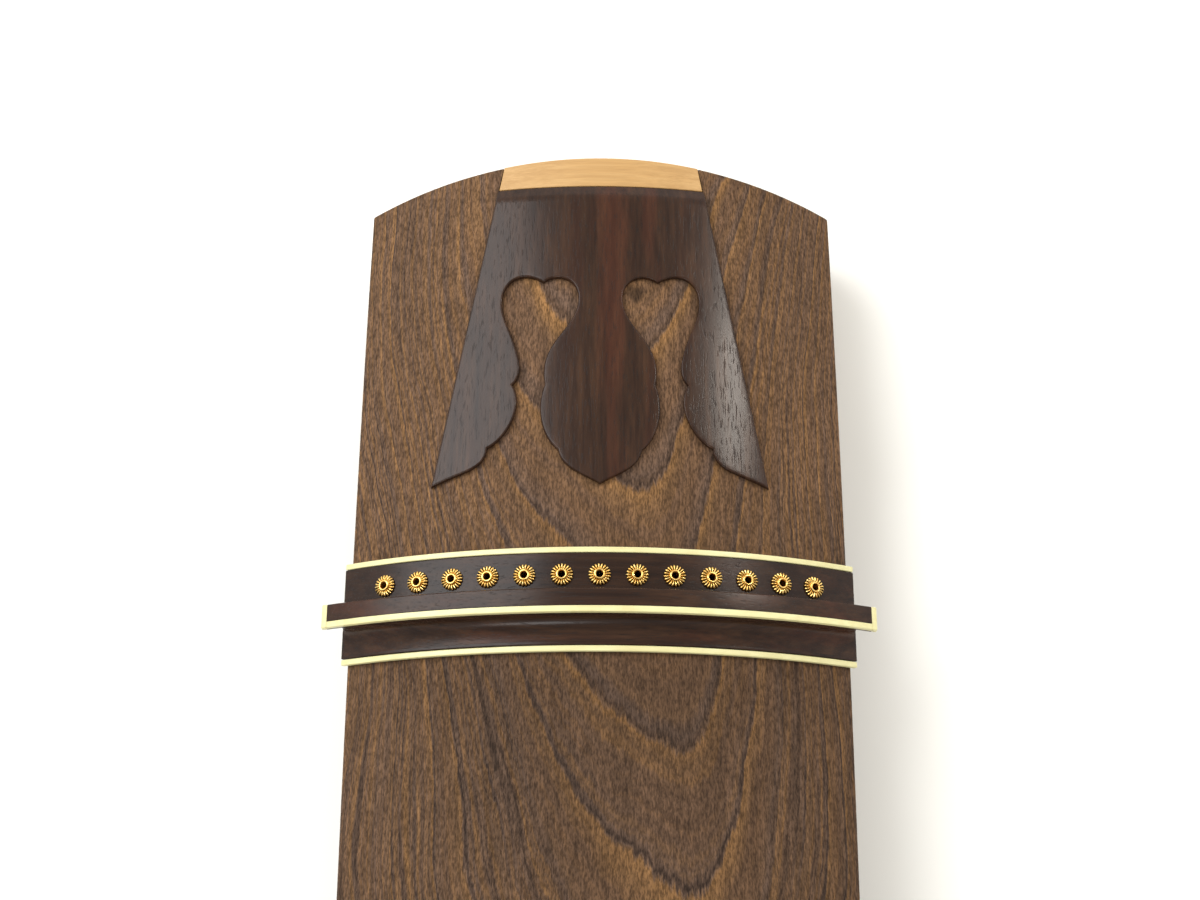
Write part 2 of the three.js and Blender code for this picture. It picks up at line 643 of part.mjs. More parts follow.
function forelegStand() {
  const group = new THREE.Group();
  const seat = onBody(STAND_LEG_X, HEAD_RIDGE_Y, 0);
  const world = seat.clone().applyAxisAngle(X_AXIS, -TILT);
  const height = world.z - FLOOR;
  for (const side of [-1, 1]) {
    const leg = standLeg(side > 0 ? 'stand_leg_right' : 'stand_leg_left', side, height);
    leg.position.x = side * seat.x;
    group.add(leg);
  }
  group.add(standRail(seat.x));
  group.position.set(0, world.y, height);
  return group;
}

function instrument() {
  const group = new THREE.Group();
  const half = BAFFLE_THICKNESS / 2;
  group.add(topShell(), backBoard());
  group.add(hollowPlug('head_baffle', HEAD_BAFFLE_Y - half, HEAD_BAFFLE_Y + half));
  group.add(hollowPlug('tail_baffle', TAIL_BAFFLE_Y - half, TAIL_BAFFLE_Y + half));
  for (const i of [-1, 0, 1]) {
    group.add(innerBrace(`inner_brace_${i + 2}`, i * BRACE_SPACING));
  }
  group.add(tailEndBlock(), headEnd(), leafOverlay(), tailStringRest());
  group.add(ridge('tail_ridge', 'tail_eyelet', TAIL_RIDGE_Y, 1));
  group.add(ridge('head_ridge', 'head_eyelet', HEAD_RIDGE_Y, -1));
  group.add(hindFoot('hind_foot_left', -1), hindFoot('hind_foot_right', 1));
  group.rotation.x = -TILT;
  group.position.z = -FLOOR;
  return group;
}

const koto = new THREE.Group();
koto.add(instrument(), forelegStand());
const box = new THREE.Box3().setFromObject(koto, true);
koto.position.y = -(box.min.y + box.max.y) / 2;

export default koto;
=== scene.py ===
"""Looks of a thirteen-string koto, unstrung, on its hind feet and its detachable foreleg stand.

The pieces are drawn in millimetres on a straight body: x across, y along with the tail at +y, z up from
the back board. on_body() gives a drawn point the body's taper and lengthwise bow, and to_row() then stands
the koto on its feet in the row frame, in metres.
"""
import math

import bmesh
import bpy
import numpy as np
from mathutils import Matrix, Vector
from mathutils.geometry import delaunay_2d_cdt


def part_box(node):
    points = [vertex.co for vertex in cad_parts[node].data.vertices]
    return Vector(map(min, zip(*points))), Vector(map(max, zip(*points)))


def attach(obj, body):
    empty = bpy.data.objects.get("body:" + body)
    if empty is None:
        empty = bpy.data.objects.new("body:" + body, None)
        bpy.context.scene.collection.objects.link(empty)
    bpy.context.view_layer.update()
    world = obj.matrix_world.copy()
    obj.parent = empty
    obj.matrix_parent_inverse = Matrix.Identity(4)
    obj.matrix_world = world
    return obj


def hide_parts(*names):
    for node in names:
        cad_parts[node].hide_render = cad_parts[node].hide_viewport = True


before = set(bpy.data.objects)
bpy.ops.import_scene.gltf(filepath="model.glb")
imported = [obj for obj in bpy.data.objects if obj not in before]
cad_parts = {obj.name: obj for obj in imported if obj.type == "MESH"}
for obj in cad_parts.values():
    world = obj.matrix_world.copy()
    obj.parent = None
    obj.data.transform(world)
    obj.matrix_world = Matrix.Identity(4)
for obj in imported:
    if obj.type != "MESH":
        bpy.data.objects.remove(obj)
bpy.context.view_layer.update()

MM = 0.001

# Body, in millimetres
HALF_LENGTH = 910
HALF_WIDTH = 120
WIDTH_TAPER = 0.0047
TAIL_CURVE_START = 597
TAIL_CURVE_RADIUS = 16100
BOW_RADIUS = 20000
ARCH_RADIUS = 229.3
CROWN_HEIGHT = 78
RIM_HALF_WIDTH = 117
BACK_THICKNESS = 10
HOLLOW_HALF_WIDTH = 101
HOLLOW_EDGE_HEIGHT = 33
HOLLOW_CROWN_HEIGHT = 55
TAIL_END_SAGITTA = 17.6
GAP = 0.3
ARRIS = 1.2

# Inner boards and ends
TAIL_BLOCK_START = 868.3
END_BOARD_THICKNESS = 10
TONGUE_HALF_WIDTH = 76
TONGUE_BASE_HEIGHT = 9
TONGUE_SIDE_HEIGHT = 30
TONGUE_RISE = 32
TONGUE_CORNER = 14
TONGUE_THICKNESS = 4
TONGUE_BORDER = 3
SIDE_STRIP_LENGTH = 150
SIDE_STRIP_DEPTH = 3
SIDE_STRIP_LOW = 14
SIDE_STRIP_HIGH = 32
SIDE_STRIP_POINT = 12

# Ridges, measured along the body from the crest's edge
TAIL_RIDGE_Y = 677
HEAD_RIDGE_Y = -800
BASE_THICKNESS = 3
BASE_OVERHANG = 1.4
BASE_INNER_EDGE = -18.2
BASE_OUTER_EDGE = 31.2
BORDER_WIDTH = 2.7
CREST_HEIGHT = 16
CREST_ARCH_RADIUS = 255
BAR_HALF_LENGTH = 129
BAR_BACK = 8.4
BAR_TIP_HEIGHT = 4.6
STRIP_WIDTH = 2.8
STRIP_HEIGHT = 3.2
CAP_THICKNESS = 2.4

# String eyelets
STRING_COUNT = 13
EYELET_PITCH = 17.62
EYELET_Y = 17.7
EYELET_RADIUS = 5.4
EYELET_SLEEVE_RADIUS = 2.4
EYELET_BORE_RADIUS = 1.65
EYELET_PETALS = 20
STRING_HOLE_RADIUS = 2.7
STRING_HOLE_DEPTH = 36

# Oak-leaf overlay and string rest, measured from the tail ridge
OVERLAY_THICKNESS = 2.8
OVERLAY_BAND = 5.8
LEAF_TIP = (81.6, 64.2)
REST_INNER_EDGE = 217.1
REST_HALF_WIDTH = 52.9
REST_DEPTH = 14

# Sound holes, feet and stand
SOUND_HOLES = {"head": -720, "tail": 775}
SOUND_HOLE_LENGTH = 130
SOUND_HOLE_HALF_WIDTH = 44
HIND_FOOT_X = 84
HIND_FOOT_Y = 690
HIND_FOOT_HEIGHT = 26.6
HIND_FOOT_TOP = 30
HIND_FOOT_SOLE = 22
HIND_FOOT_THICKNESS = 26
STAND_LEG_X = 84
LEG_SHOULDER = 19
LEG_THICKNESS = 22
TENON_LENGTH = 14
TENON_HALF_WIDTH = 11
TENON_CLEARANCE = 0.5
RAIL_TOP = 6
RAIL_HEIGHT = 15
RAIL_THICKNESS = 12

BASE_END = HALF_WIDTH + BASE_OVERHANG
ARCH_CENTRE = CROWN_HEIGHT - ARCH_RADIUS
EDGE_HEIGHT = ARCH_CENTRE + math.sqrt(ARCH_RADIUS ** 2 - HALF_WIDTH ** 2)
TILT = -HEAD_RIDGE_Y / BOW_RADIUS
SPARE = 5
SIDES = ((-1, "left"), (1, "right"))
BODY_START = -HALF_LENGTH + END_BOARD_THICKNESS + GAP

# Camera, in a frame on the crown of the tail ridge, and lights
CAMERA_LENS = 60
CAMERA_PLACE = (-0.0017, -0.21721, 0.90368)
CAMERA_PITCH, CAMERA_YAW, CAMERA_ROLL = 0.3173952, -0.0018731, 0.0034891
LIGHT_DISTANCE = 2.6
COOL, WARM, WHITE = (0.95, 0.98, 1.0), (1.0, 0.94, 0.85), (1.0, 1.0, 1.0)


# ---- the body's curves

def coordinates(points):
    return np.moveaxis(np.asarray(points, float), -1, 0)


def arch_drop(x, radius=ARCH_RADIUS):
    return radius - np.sqrt(radius ** 2 - np.square(x))


def half_width(y):
    curve = np.maximum(y - TAIL_CURVE_START, 0)
    return HALF_WIDTH - WIDTH_TAPER * (y - TAIL_RIDGE_Y) - curve ** 2 / (2 * TAIL_CURVE_RADIUS)


def on_body(points):
    """Points of the straight drawing on the tapered and bowed body."""
    x, y, z = coordinates(points)
    wide = x * half_width(y) / HALF_WIDTH
    share = np.clip((z - BACK_THICKNESS) / (EDGE_HEIGHT - BACK_THICKNESS), 0, 1)
    reach = BOW_RADIUS + z + share * (arch_drop(x) - arch_drop(wide))
    turn = y / BOW_RADIUS
    return np.stack([wide, reach * np.sin(turn), reach * np.cos(turn) - BOW_RADIUS], axis=-1)


def tilted(points):
    c, s = math.cos(TILT), math.sin(TILT)
    x, y, z = coordinates(points)
    return np.stack([x, c * y + s * z, c * z - s * y], axis=-1)


FLOOR = tilted(on_body((0, HIND_FOOT_Y, 0)))[2] - HIND_FOOT_HEIGHT
STAND_SEAT = tilted(on_body((STAND_LEG_X, HEAD_RIDGE_Y, 0)))
rail_low, rail_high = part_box("stand_rail")
ROW_SHIFT = (rail_low.y + rail_high.y) / (2 * MM) - STAND_SEAT[1]


def to_row(points):
    """Drawn points, in millimetres, to the row frame, in metres."""
    return (tilted(on_body(points)) + (0, ROW_SHIFT, -FLOOR)) * MM


def arch_height(x, above=0):
    """Height of a surface that lies at a distance above the arched top."""
    return ARCH_CENTRE + np.sqrt((ARCH_RADIUS + above) ** 2 - np.square(x))


def tail_end(x):
    """The tail end bulges a little at its middle."""
    radius = HALF_WIDTH ** 2 / (2 * TAIL_END_SAGITTA)
    return HALF_LENGTH - arch_drop(x, radius)


def to_tail(x, share, start=BODY_START):
    """Places at shares of the way from a start to the tail end."""
    return start + share * (tail_end(x) - start)


# ---- outlines

def unit(v):
    return v / np.linalg.norm(v)


def rounded(corners, radius, steps=5):
    """A polygon with an arc at each corner. The radius is one number, or one for each corner."""
    corners = np.asarray(corners, float)
    radii = np.broadcast_to(radius, len(corners))
    outline = []
    for i, corner in enumerate(corners):
        if radii[i] == 0:
            outline.append(corner)
            continue
        before = unit(corners[i - 1] - corner)
        after = unit(corners[(i + 1) % len(corners)] - corner)
        half = math.acos(np.clip(before @ after, -1, 1)) / 2
        centre = corner + unit(before + after) * radii[i] / math.sin(half)
        reach = radii[i] / math.tan(half)
        start, end = corner + before * reach - centre, corner + after * reach - centre
        sweep = math.pi - 2 * half
        for t in np.linspace(0, 1, steps + 1):
            arm = math.sin((1 - t) * sweep) * start + math.sin(t * sweep) * end
            outline.append(centre + arm / math.sin(sweep))
    return np.array(outline)


def arc_radius(half, rise):
    """Radius of the arc over a chord of 2 * half that rises this far."""
    return (half ** 2 + rise ** 2) / (2 * rise)


def bezier(start, ahead, behind, end, steps):
    """Points of a cubic curve, without its first one."""
    t = np.linspace(0, 1, steps + 1)[1:, None]
    s = 1 - t
    pull = 3 * s * s * t * np.array(ahead) + 3 * s * t * t * np.array(behind)
    return s ** 3 * np.array(start) + pull + t ** 3 * np.array(end)


def path(start, *pieces):
    """An outline from straight pieces (end) and curved ones (ahead, behind, end, steps)."""
    points = [np.array([start], float)]
    for piece in pieces:
        if np.isscalar(piece[0]):
            points.append(np.array([piece], float))
        else:
            points.append(bezier(points[-1][-1], *piece))
    return np.vstack(points)


def inset(outline, distance):
    """A closed outline moved inwards."""
    before = outline - np.roll(outline, 1, axis=0)
    after = np.roll(outline, -1, axis=0) - outline
    turn = np.array([[0, 1], [-1, 0]])
    normals = [edge @ turn / np.linalg.norm(edge, axis=1)[:, None] for edge in (before, after)]
    both = normals[0] + normals[1]
    mitre = both / np.maximum(1 + np.sum(normals[0] * normals[1], axis=1), 0.5)[:, None]
    area = np.sum(outline[:, 0] * np.roll(outline[:, 1], -1) - outline[:, 1] * np.roll(outline[:, 0], -1))
    return outline + mitre * distance * np.sign(area)


def inside(points, outline):
    """Which points lie inside a closed outline."""
    x, y = points[:, 0][:, None], points[:, 1][:, None]
    ax, ay = outline.T
    bx, by = np.roll(outline, -1, axis=0).T
    crosses = (ay > y) != (by > y)
    with np.errstate(divide="ignore", invalid="ignore"):
        at = ax + (y - ay) * (bx - ax) / (by - ay)
    return np.sum(crosses & (x < at), axis=1) % 2 == 1


# ---- meshes

def add_object(name, data):
    obj = bpy.data.objects.new(name, data)
    bpy.context.scene.collection.objects.link(obj)
    return obj


def mesh_object(name, vertices, faces, sharp=35):
    """A closed mesh in the row frame, with its faces outwards and its edges smooth up to an angle."""
    mesh = bpy.data.meshes.new(name)
    mesh.from_pydata(np.asarray(vertices).tolist(), [], [list(map(int, face)) for face in faces])
    work = bmesh.new()
    work.from_mesh(mesh)
    bmesh.ops.remove_doubles(work, verts=work.verts, dist=1e-6)
    bmesh.ops.recalc_face_normals(work, faces=work.faces)
    work.to_mesh(mesh)
    work.free()
    obj = add_object(name, mesh)
    soften(obj, sharp)
    return obj


def soften(obj, sharp=35):
    obj.data.polygons.foreach_set("use_smooth", [True] * len(obj.data.polygons))
    obj.data.set_sharp_from_angle(angle=math.radians(sharp))


def stack(loops, ring=False):
    """Faces through loops of equal length, closed by two caps or, for a ring, joined end to end."""
    rows, count = len(loops), len(loops[0])
    index = np.arange(rows * count).reshape(rows, count)
    ahead = np.roll(index, -1, axis=0) if ring else index[1:]
    here = index if ring else index[:-1]
    quads = np.stack([here, np.roll(here, -1, 1), np.roll(ahead, -1, 1), ahead], axis=-1).reshape(-1, 4)
    caps = [] if ring else [index[0][::-1], index[-1]]
    return np.vstack(loops), list(quads) + caps


def at_level(flat, level):
    """Flat points with one level as their third coordinate."""
    return np.column_stack([flat, np.full(len(flat), level)])


def quarter(radius, steps=3):
    """(inset, rise) pairs of an edge that is rounded by a quarter circle, from its end face outwards."""
    angles = np.linspace(0, math.pi / 2, steps + 1)
    return [(radius * (1 - math.sin(a)), radius * (1 - math.cos(a))) for a in angles]


def joined(shapes):
    """Several shapes' vertices and faces as one shape."""
    vertices, faces = [], []
    for points, sides in shapes:
        faces += [np.add(side, sum(map(len, vertices))) for side in sides]
        vertices.append(points)
    return np.vstack(vertices), faces


def prism(outline, low, high, ease=0.0, steps=1):
    """Loops of a block with this outline between two levels, its end edges rounded by ease."""
    turned = [(inset(outline, d), rise) for d, rise in (quarter(ease) if ease else [(0, 0)])]
    middle = [(outline, level) for level in np.linspace(low + ease, high - ease, steps + 1)[1:-1]]
    levels = [(flat, low + rise) for flat, rise in turned] + middle
    levels += [(flat, high - rise) for flat, rise in reversed(turned)]
    return [at_level(flat, level) for flat, level in levels]


def along_y(shape):
    """Stacked loops of (x, z, level) as a solid of drawn points."""
    vertices, faces = shape
    return vertices[:, [0, 2, 1]], faces


def along_x(shape):
    """Stacked loops of (y, z, level) as a solid of drawn points."""
    vertices, faces = shape
    return vertices[:, [2, 0, 1]], faces


def block(counts, place):
    """A box-like solid of quads: place() carries the unit cube's surface to drawn points."""
    sides = []
    for axis in range(3):
        across, up = [a for a in range(3) if a != axis]
        n, m = counts[across], counts[up]
        a, b = np.meshgrid(np.linspace(0, 1, n + 1), np.linspace(0, 1, m + 1), indexing="ij")
        corner = np.arange((n + 1) * (m + 1)).reshape(n + 1, m + 1)
        quads = np.stack([corner[:-1, :-1], corner[1:, :-1], corner[1:, 1:], corner[:-1, 1:]], -1)
        for end in (0.0, 1.0):
            cube = np.full((a.size, 3), end)
            cube[:, across], cube[:, up] = a.ravel(), b.ravel()
            sides.append((place(*cube.T), quads.reshape(-1, 4)))
    return joined(sides)


def filled(outline, spacing, crease=()):
    """Triangles over a closed outline, with a net of points inside it and more along a crease."""
    low, high = outline.min(axis=0), outline.max(axis=0)
    net = np.meshgrid(np.arange(low[0], high[0], spacing), np.arange(low[1], high[1], spacing))
    net = np.stack(net, axis=-1).reshape(-1, 2)
    if len(crease):
        net = np.vstack([net[np.abs(net[:, 1] - crease[0][1]) > 0.6 * spacing], crease])
    net = net[inside(net, outline)]
    clear = np.linalg.norm(net[:, None] - outline[None], axis=-1).min(axis=1) > 0.6 * spacing
    count = len(outline)
    points = [Vector(p) for p in np.vstack([outline, net[clear]])]
    edges = [(i, (i + 1) % count) for i in range(count)]
    found = delaunay_2d_cdt(points, edges, [list(range(count))], 1, 1e-6)
    return np.array([v[:] for v in found[0]]), found[2]


def evaluated(obj):
    """Applies an object's modifiers to its mesh."""
    graph = bpy.context.evaluated_depsgraph_get()
    mesh = bpy.data.meshes.new_from_object(obj.evaluated_get(graph))
    obj.modifiers.clear()
    obj.data = mesh
    soften(obj)


def ease_edges(obj, width, limit=40):
    bevel = obj.modifiers.new("eased", "BEVEL")
    bevel.width = width * MM
    bevel.segments = 3
    bevel.limit_method = "ANGLE"
    bevel.angle_limit = math.radians(limit)
    bevel.use_clamp_overlap = False
    evaluated(obj)


def carve(obj, *tools):
    """Cuts the tools out of an object and removes them."""
    for tool in tools:
        cut = obj.modifiers.new("cut", "BOOLEAN")
        cut.operation = "DIFFERENCE"
        cut.solver = "EXACT"
        cut.object = tool
    evaluated(obj)
    for tool in tools:
        bpy.data.objects.remove(tool)


def solid(name, shape, place=to_row):
    vertices, faces = shape
    return mesh_object(name, place(vertices), faces)


def dress(obj, material):
    obj.data.materials.clear()
    obj.data.materials.append(material)


def finish_piece(obj, material, body="koto"):
    """Gives a piece its material and its body, and hides the CAD node that it stands for."""
    dress(obj, material)
    if len(obj.data.polygons) > 40:
        weighted = obj.modifiers.new("shading", "WEIGHTED_NORMAL")
        weighted.keep_sharp = True
    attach(obj, body)
    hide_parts(obj.name.removesuffix("_fine"))


# ---- materials

def srgb(red, green, blue):
    """A colour given as display values from 0 to 255."""
    parts = [c / 255 for c in (red, green, blue)]
    return [c / 12.92 if c <= 0.04045 else ((c + 0.055) / 1.055) ** 2.4 for c in parts] + [1.0]


def operator(operation, swapped=False):
    """A Wire's arithmetic sign, as a Math node."""
    def apply(wire, other):
        pair = (other, wire) if swapped else (wire, other)
        return wire.paint.math(operation, *pair)

    return apply


class Wire:
    """A value in a material's node tree, so that a pattern can be written as arithmetic."""

    def __init__(self, paint, socket):
        self.paint, self.socket = paint, socket

    __add__ = operator("ADD")
    __radd__ = operator("ADD", swapped=True)
    __sub__ = operator("SUBTRACT")
    __rsub__ = operator("SUBTRACT", swapped=True)
    __mul__ = operator("MULTIPLY")
    __rmul__ = operator("MULTIPLY", swapped=True)
    __truediv__ = operator("DIVIDE")


class Paint:
    """One material and the nodes of its pattern, which lies in the row frame."""

    def __init__(self, name):
        self.material = bpy.data.materials.new(name)
        self.material.use_nodes = True
        self.tree = self.material.node_tree
        self.shader = self.tree.nodes["Principled BSDF"]
        self.place = self.node("ShaderNodeTexCoord").outputs["Object"]

    def node(self, kind, **settings):
        made = self.tree.nodes.new(kind)
        for key, value in settings.items():
            setattr(made, key, value)
        return made

    def feed(self, value, socket):
        if isinstance(value, Wire):
            self.tree.links.new(value.socket, socket)
        else:
            socket.default_value = value

    def math(self, operation, *values):
        made = self.node("ShaderNodeMath", operation=operation)
        for value, socket in zip(values, made.inputs):
            self.feed(value, socket)
        return Wire(self, made.outputs[0])

    def position(self):
        made = self.node("ShaderNodeSeparateXYZ")
        self.tree.links.new(self.place, made.inputs[0])
        return [Wire(self, made.outputs[i]) for i in range(3)]

    def combine(self, x, y, z):
        made = self.node("ShaderNodeCombineXYZ")
        for value, socket in zip((x, y, z), made.inputs):
            self.feed(value, socket)
        return Wire(self, made.outputs[0])

    def noise(self, stretch, detail=2.0, roughness=0.5, at=None, offset=0.0):
        """Smooth noise around 0.5, with so many waves per metre along each axis."""
        scaled = self.node("ShaderNodeVectorMath", operation="MULTIPLY_ADD")
        self.tree.links.new(at.socket if at else self.place, scaled.inputs[0])
        scaled.inputs[1].default_value = stretch
        scaled.inputs[2].default_value = (offset, 0.37 * offset, 0.71 * offset)
        made = self.node("ShaderNodeTexNoise")
        made.inputs["Scale"].default_value = 1.0
        made.inputs["Detail"].default_value = detail
        made.inputs["Roughness"].default_value = roughness
        self.tree.links.new(scaled.outputs[0], made.inputs["Vector"])
        return Wire(self, made.outputs[0])

    def lottery(self, value):
        """A random number from 0 to 1 for each whole value."""
        made = self.node("ShaderNodeTexWhiteNoise", noise_dimensions="1D")
        self.feed(value, made.inputs["W"])
        return Wire(self, made.outputs["Value"])

    def span(self, value, low, high, to_low=0.0, to_high=1.0):
        """Carries a range of a value to another, smoothly and without passing its ends."""
        made = self.node("ShaderNodeMapRange", interpolation_type="SMOOTHSTEP")
        for v, socket in zip((value, low, high, to_low, to_high), made.inputs):
            self.feed(v, socket)
        return Wire(self, made.outputs[0])

    def ramp(self, factor, *stops):
        """A colour for each value, from stops of a place and display values."""
        made = self.node("ShaderNodeValToRGB")
        steps = made.color_ramp.elements
        for at, _ in stops[2:]:
            steps.new(at)
        for step, (at, colour) in zip(steps, stops):
            step.position, step.color = at, srgb(*colour)
        self.feed(factor, made.inputs[0])
        return Wire(self, made.outputs[0])

    def mix(self, factor, a, b):
        made = self.node("ShaderNodeMix", data_type="RGBA", clamp_factor=True)
        self.feed(factor, made.inputs[0])
        self.feed(a, made.inputs[6])
        self.feed(b, made.inputs[7])
        return Wire(self, made.outputs[2])

    def dim(self, colour, value):
        """A colour multiplied by a value."""
        made = self.node("ShaderNodeVectorMath", operation="SCALE")
        self.feed(colour, made.inputs[0])
        self.feed(value, made.inputs["Scale"])
        return Wire(self, made.outputs[0])

    def finish(self, colour, roughness, height=None, depth=0.0001, **fixed):
        """Wires the pattern to the shader. Values that are the same all over sit on its own sockets."""
        self.feed(colour, self.shader.inputs["Base Color"])
        self.feed(roughness, self.shader.inputs["Roughness"])
        if height is not None:
            bump = self.node("ShaderNodeBump")
            bump.inputs["Strength"].default_value = 1.0
            bump.inputs["Distance"].default_value = depth
            self.feed(height, bump.inputs["Height"])
            self.tree.links.new(bump.outputs[0], self.shader.inputs["Normal"])
        for key, value in fixed.items():
            self.shader.inputs[key.replace("_", " ")].default_value = value
        return self.material


RIDGE_POINT = to_row((0, TAIL_RIDGE_Y, CROWN_HEIGHT))
BOARD_CROWN = (CROWN_HEIGHT - FLOOR) * MM


def board_rings(p, x, y, z, along):
    """The board's rings, counted over nested V shapes that open towards the tail.

    Also the distance from the V shapes' middle line and the height against the board's arched top.
    """
    heart = 0.028 - 0.014 * p.math("SINE", along / 0.09)
    wobble = (p.noise((26, 9, 26), detail=2, offset=3) - 0.5) * 0.01
    across = x - heart + wobble
    reach = p.math("ABSOLUTE", across)
    right = p.math("GREATER_THAN", across, 0.0)
    # the arms round off at their point, and bend more on the right and near the board's edges
    arms = (p.math("SQRT", across * across + 0.00012) - 0.011) * (right * 0.4 + 0.9)
    bend = across * across * (right * 30.0 + 7.5)
    steep = p.span(along, -0.14, 0.05, 0.35, 1.0)
    flank = p.math("MAXIMUM", reach - 0.05, 0.0)
    arch = ARCH_RADIUS * MM - p.math("SQRT", (ARCH_RADIUS * MM) ** 2 - x * x)
    crown = BOARD_CROWN - TILT * y - y * y / (2 * BOW_RADIUS * MM)
    depth = z - crown + arch
    field = arms + bend + flank * flank * 62.0 * steep - along + depth * 7.0
    first_ring, ring_pitch = 0.073, 0.066
    # long waves away from the tail, shorter ones all over, and strands that feather each ring's edge
    wave = p.noise((5.0, 2.5, 5.0), detail=1) - 0.5
    far = p.span(along, -0.55, -0.2, 1.0, 0.12)
    rings = (field - first_ring) / ring_pitch + wave * far * 5.0
    rings = rings + (p.noise((18, 5, 18), detail=3, offset=9) - 0.5) * (0.5 + reach * 9.0)
    rings = rings + (p.noise((520, 60, 520), detail=3, roughness=0.65, offset=21) - 0.5) * 0.22
    return rings, reach, depth


def board_knot(p, x, along):
    """Shade of a small knot on the right, between ridge and tail end."""
    knot_x, knot_along = x - 0.018, along - 0.16
    distance = p.math("SQRT", knot_x * knot_x * 1.6 + knot_along * knot_along)
    distance = distance + (p.noise((220, 120, 220), detail=3, offset=15) - 0.5) * 0.02
    return p.span(distance, 0.001, 0.0085, 0.35, 1.0)


def scorched_paulownia():
    """The board: rings with a dark edge and a golden start, crossed by strands and fine pores, and painted
    shade on the head side of the tail ridge.
    """
    p = Paint("scorched_paulownia")
    x, y, z = p.position()
    along = y - RIDGE_POINT[1]
    rings, reach, depth = board_rings(p, x, y, z, along)
    phase = p.math("FRACT", rings)
    chance = p.lottery(p.math("FLOOR", rings))

    dark, gold, tan = (66, 50, 40), (138, 100, 60), (117, 86, 56)
    brown, dusk = (105, 78, 56), (98, 77, 63)
    ring = p.ramp(
        phase,
        (0.0, dark), (0.02, dusk), (0.07, gold), (0.2, tan), (0.4, brown), (0.7, brown), (0.92, dusk),
        (1.0, dark),
    )
    lined = p.combine(rings, along, depth)
    lines = p.noise((7.0, 5.0, 120.0), detail=4, roughness=0.6, at=lined, offset=5)
    plain = p.ramp(lines, (0.37, dark), (0.44, dusk), (0.51, brown), (0.58, tan), (0.66, gold))
    side = p.span(reach, 0.02, 0.08, 0.34, 0.6)
    colour = p.mix(side + (chance - 0.5) * 0.5, ring, plain)

    streak = p.noise((800, 110, 800), detail=3, roughness=0.6, offset=1)
    strand = p.noise((340, 7, 340), detail=3, roughness=0.6, offset=25)
    pores = p.noise((1500, 380, 1500), detail=2, roughness=0.6, offset=2)
    grain = p.span(strand, 0.34, 0.66, 0.87, 1.13) * p.span(streak, 0.34, 0.66, 0.78, 1.22)
    grain = grain * p.span(pores, 0.36, 0.6, 0.6, 1.16) * board_knot(p, x, along)
    blotch = p.span(p.noise((9, 4, 9), detail=2, offset=11), 0.3, 0.7, 0.88, 1.12)
    # painted shade: the board is dimmed all over, and more on the head side of the tail ridge
    head_side_shade = p.span(along, -0.05, 0.08, 0.64, 0.86)
    colour = p.dim(colour, grain * blotch * head_side_shade)
    roughness = p.span(pores, 0.3, 0.7, 0.75, 0.55)
    height = p.span(pores, 0.34, 0.58) * 0.5 + streak * 0.5 + p.span(phase, 0.0, 0.15) * 0.15
    return p.finish(colour, roughness, height, 0.00016, Specular_IOR_Level=0.1)


def rosewood(name, grain, redness=0.25, offset=0.0, heart=None, shade=0.92):
    """Dark rosewood with streaks along one axis of the row frame (0, 1 or 2), redder round a heart. A shade
    well below 1 is painted shade.
    """
    p = Paint(name)

    def rates(across, along=None):
        waves = [across] * 3
        waves[grain] = across * 0.035 if along is None else along
        return waves

    base = p.ramp(p.noise(rates(260), detail=4, roughness=0.62, offset=offset),
                  (0.3, (37, 22, 14)), (0.5, (50, 32, 21)), (0.7, (65, 43, 28)))
    red = p.span(p.noise(rates(90), detail=3, offset=offset + 4), 0.46, 0.66) * redness
    if heart is not None:
        x, y, z = p.position()
        red = red * p.span(p.math("ABSOLUTE", x - heart), 0.008, 0.034, 2.2, 0.25)
    colour = p.mix(red, base, srgb(82, 43, 27))
    fine = p.noise(rates(900), detail=2, roughness=0.6, offset=offset + 2)
    pores = p.noise(rates(1500, 130), detail=1, offset=offset + 7)
    grained = p.span(fine, 0.3, 0.7, 0.88, 1.12) * p.span(pores, 0.32, 0.42, 0.62, 1.0)
    colour = p.dim(colour, grained * shade)
    roughness = p.span(pores, 0.3, 0.42, 0.38, 0.24) + (p.noise((30, 30, 30), detail=2) - 0.5) * 0.06
    height = p.span(pores, 0.28, 0.45) * 0.5 + fine * 0.1
    return p.finish(colour, roughness, height, 0.00003, Specular_IOR_Level=0.2)


def ivory():
    p = Paint("ivory")
    lines = p.noise((60, 700, 700), detail=2, roughness=0.6)
    cloud = p.noise((70, 70, 70), detail=3)
    colour = p.ramp(lines * 0.5 + cloud * 0.5,
                    (0.35, (208, 198, 142)), (0.5, (214, 206, 151)), (0.65, (220, 213, 160)))
    roughness = p.span(cloud, 0.3, 0.7, 0.26, 0.4)
    return p.finish(colour, roughness, lines, 0.00002, Specular_IOR_Level=0.5)


def gilt():
    """Gilt with painted shade, nearly black, in the hollows between the petals of a rosette round its own z
    axis.
    """
    p = Paint("gilt")
    x, y, z = p.position()
    radius = p.math("SQRT", x * x + y * y)
    rib = p.math("ABSOLUTE", p.math("COSINE", p.math("ARCTAN2", y, x) * (EYELET_PETALS / 2)))
    collar = (EYELET_SLEEVE_RADIUS + 0.4) * MM
    centre = p.span(radius, collar, collar * 1.12, 1.0, 0.0)
    # painted shade: the gilt is darkened between the petals, but not on the collar
    petal_shade = p.math("MAXIMUM", p.span(rib, 0.25, 0.8, 0.05, 1.05), centre)
    tarnish = p.noise((500, 500, 500), detail=3, roughness=0.6)
    colour = p.ramp(tarnish,
                    (0.35, (206, 160, 84)), (0.5, (236, 194, 112)), (0.65, (250, 220, 148)))
    colour = p.dim(colour, petal_shade)
    roughness = p.span(tarnish, 0.3, 0.7, 0.32, 0.2)
    return p.finish(colour, roughness, tarnish, 0.00001, Metallic=1.0)


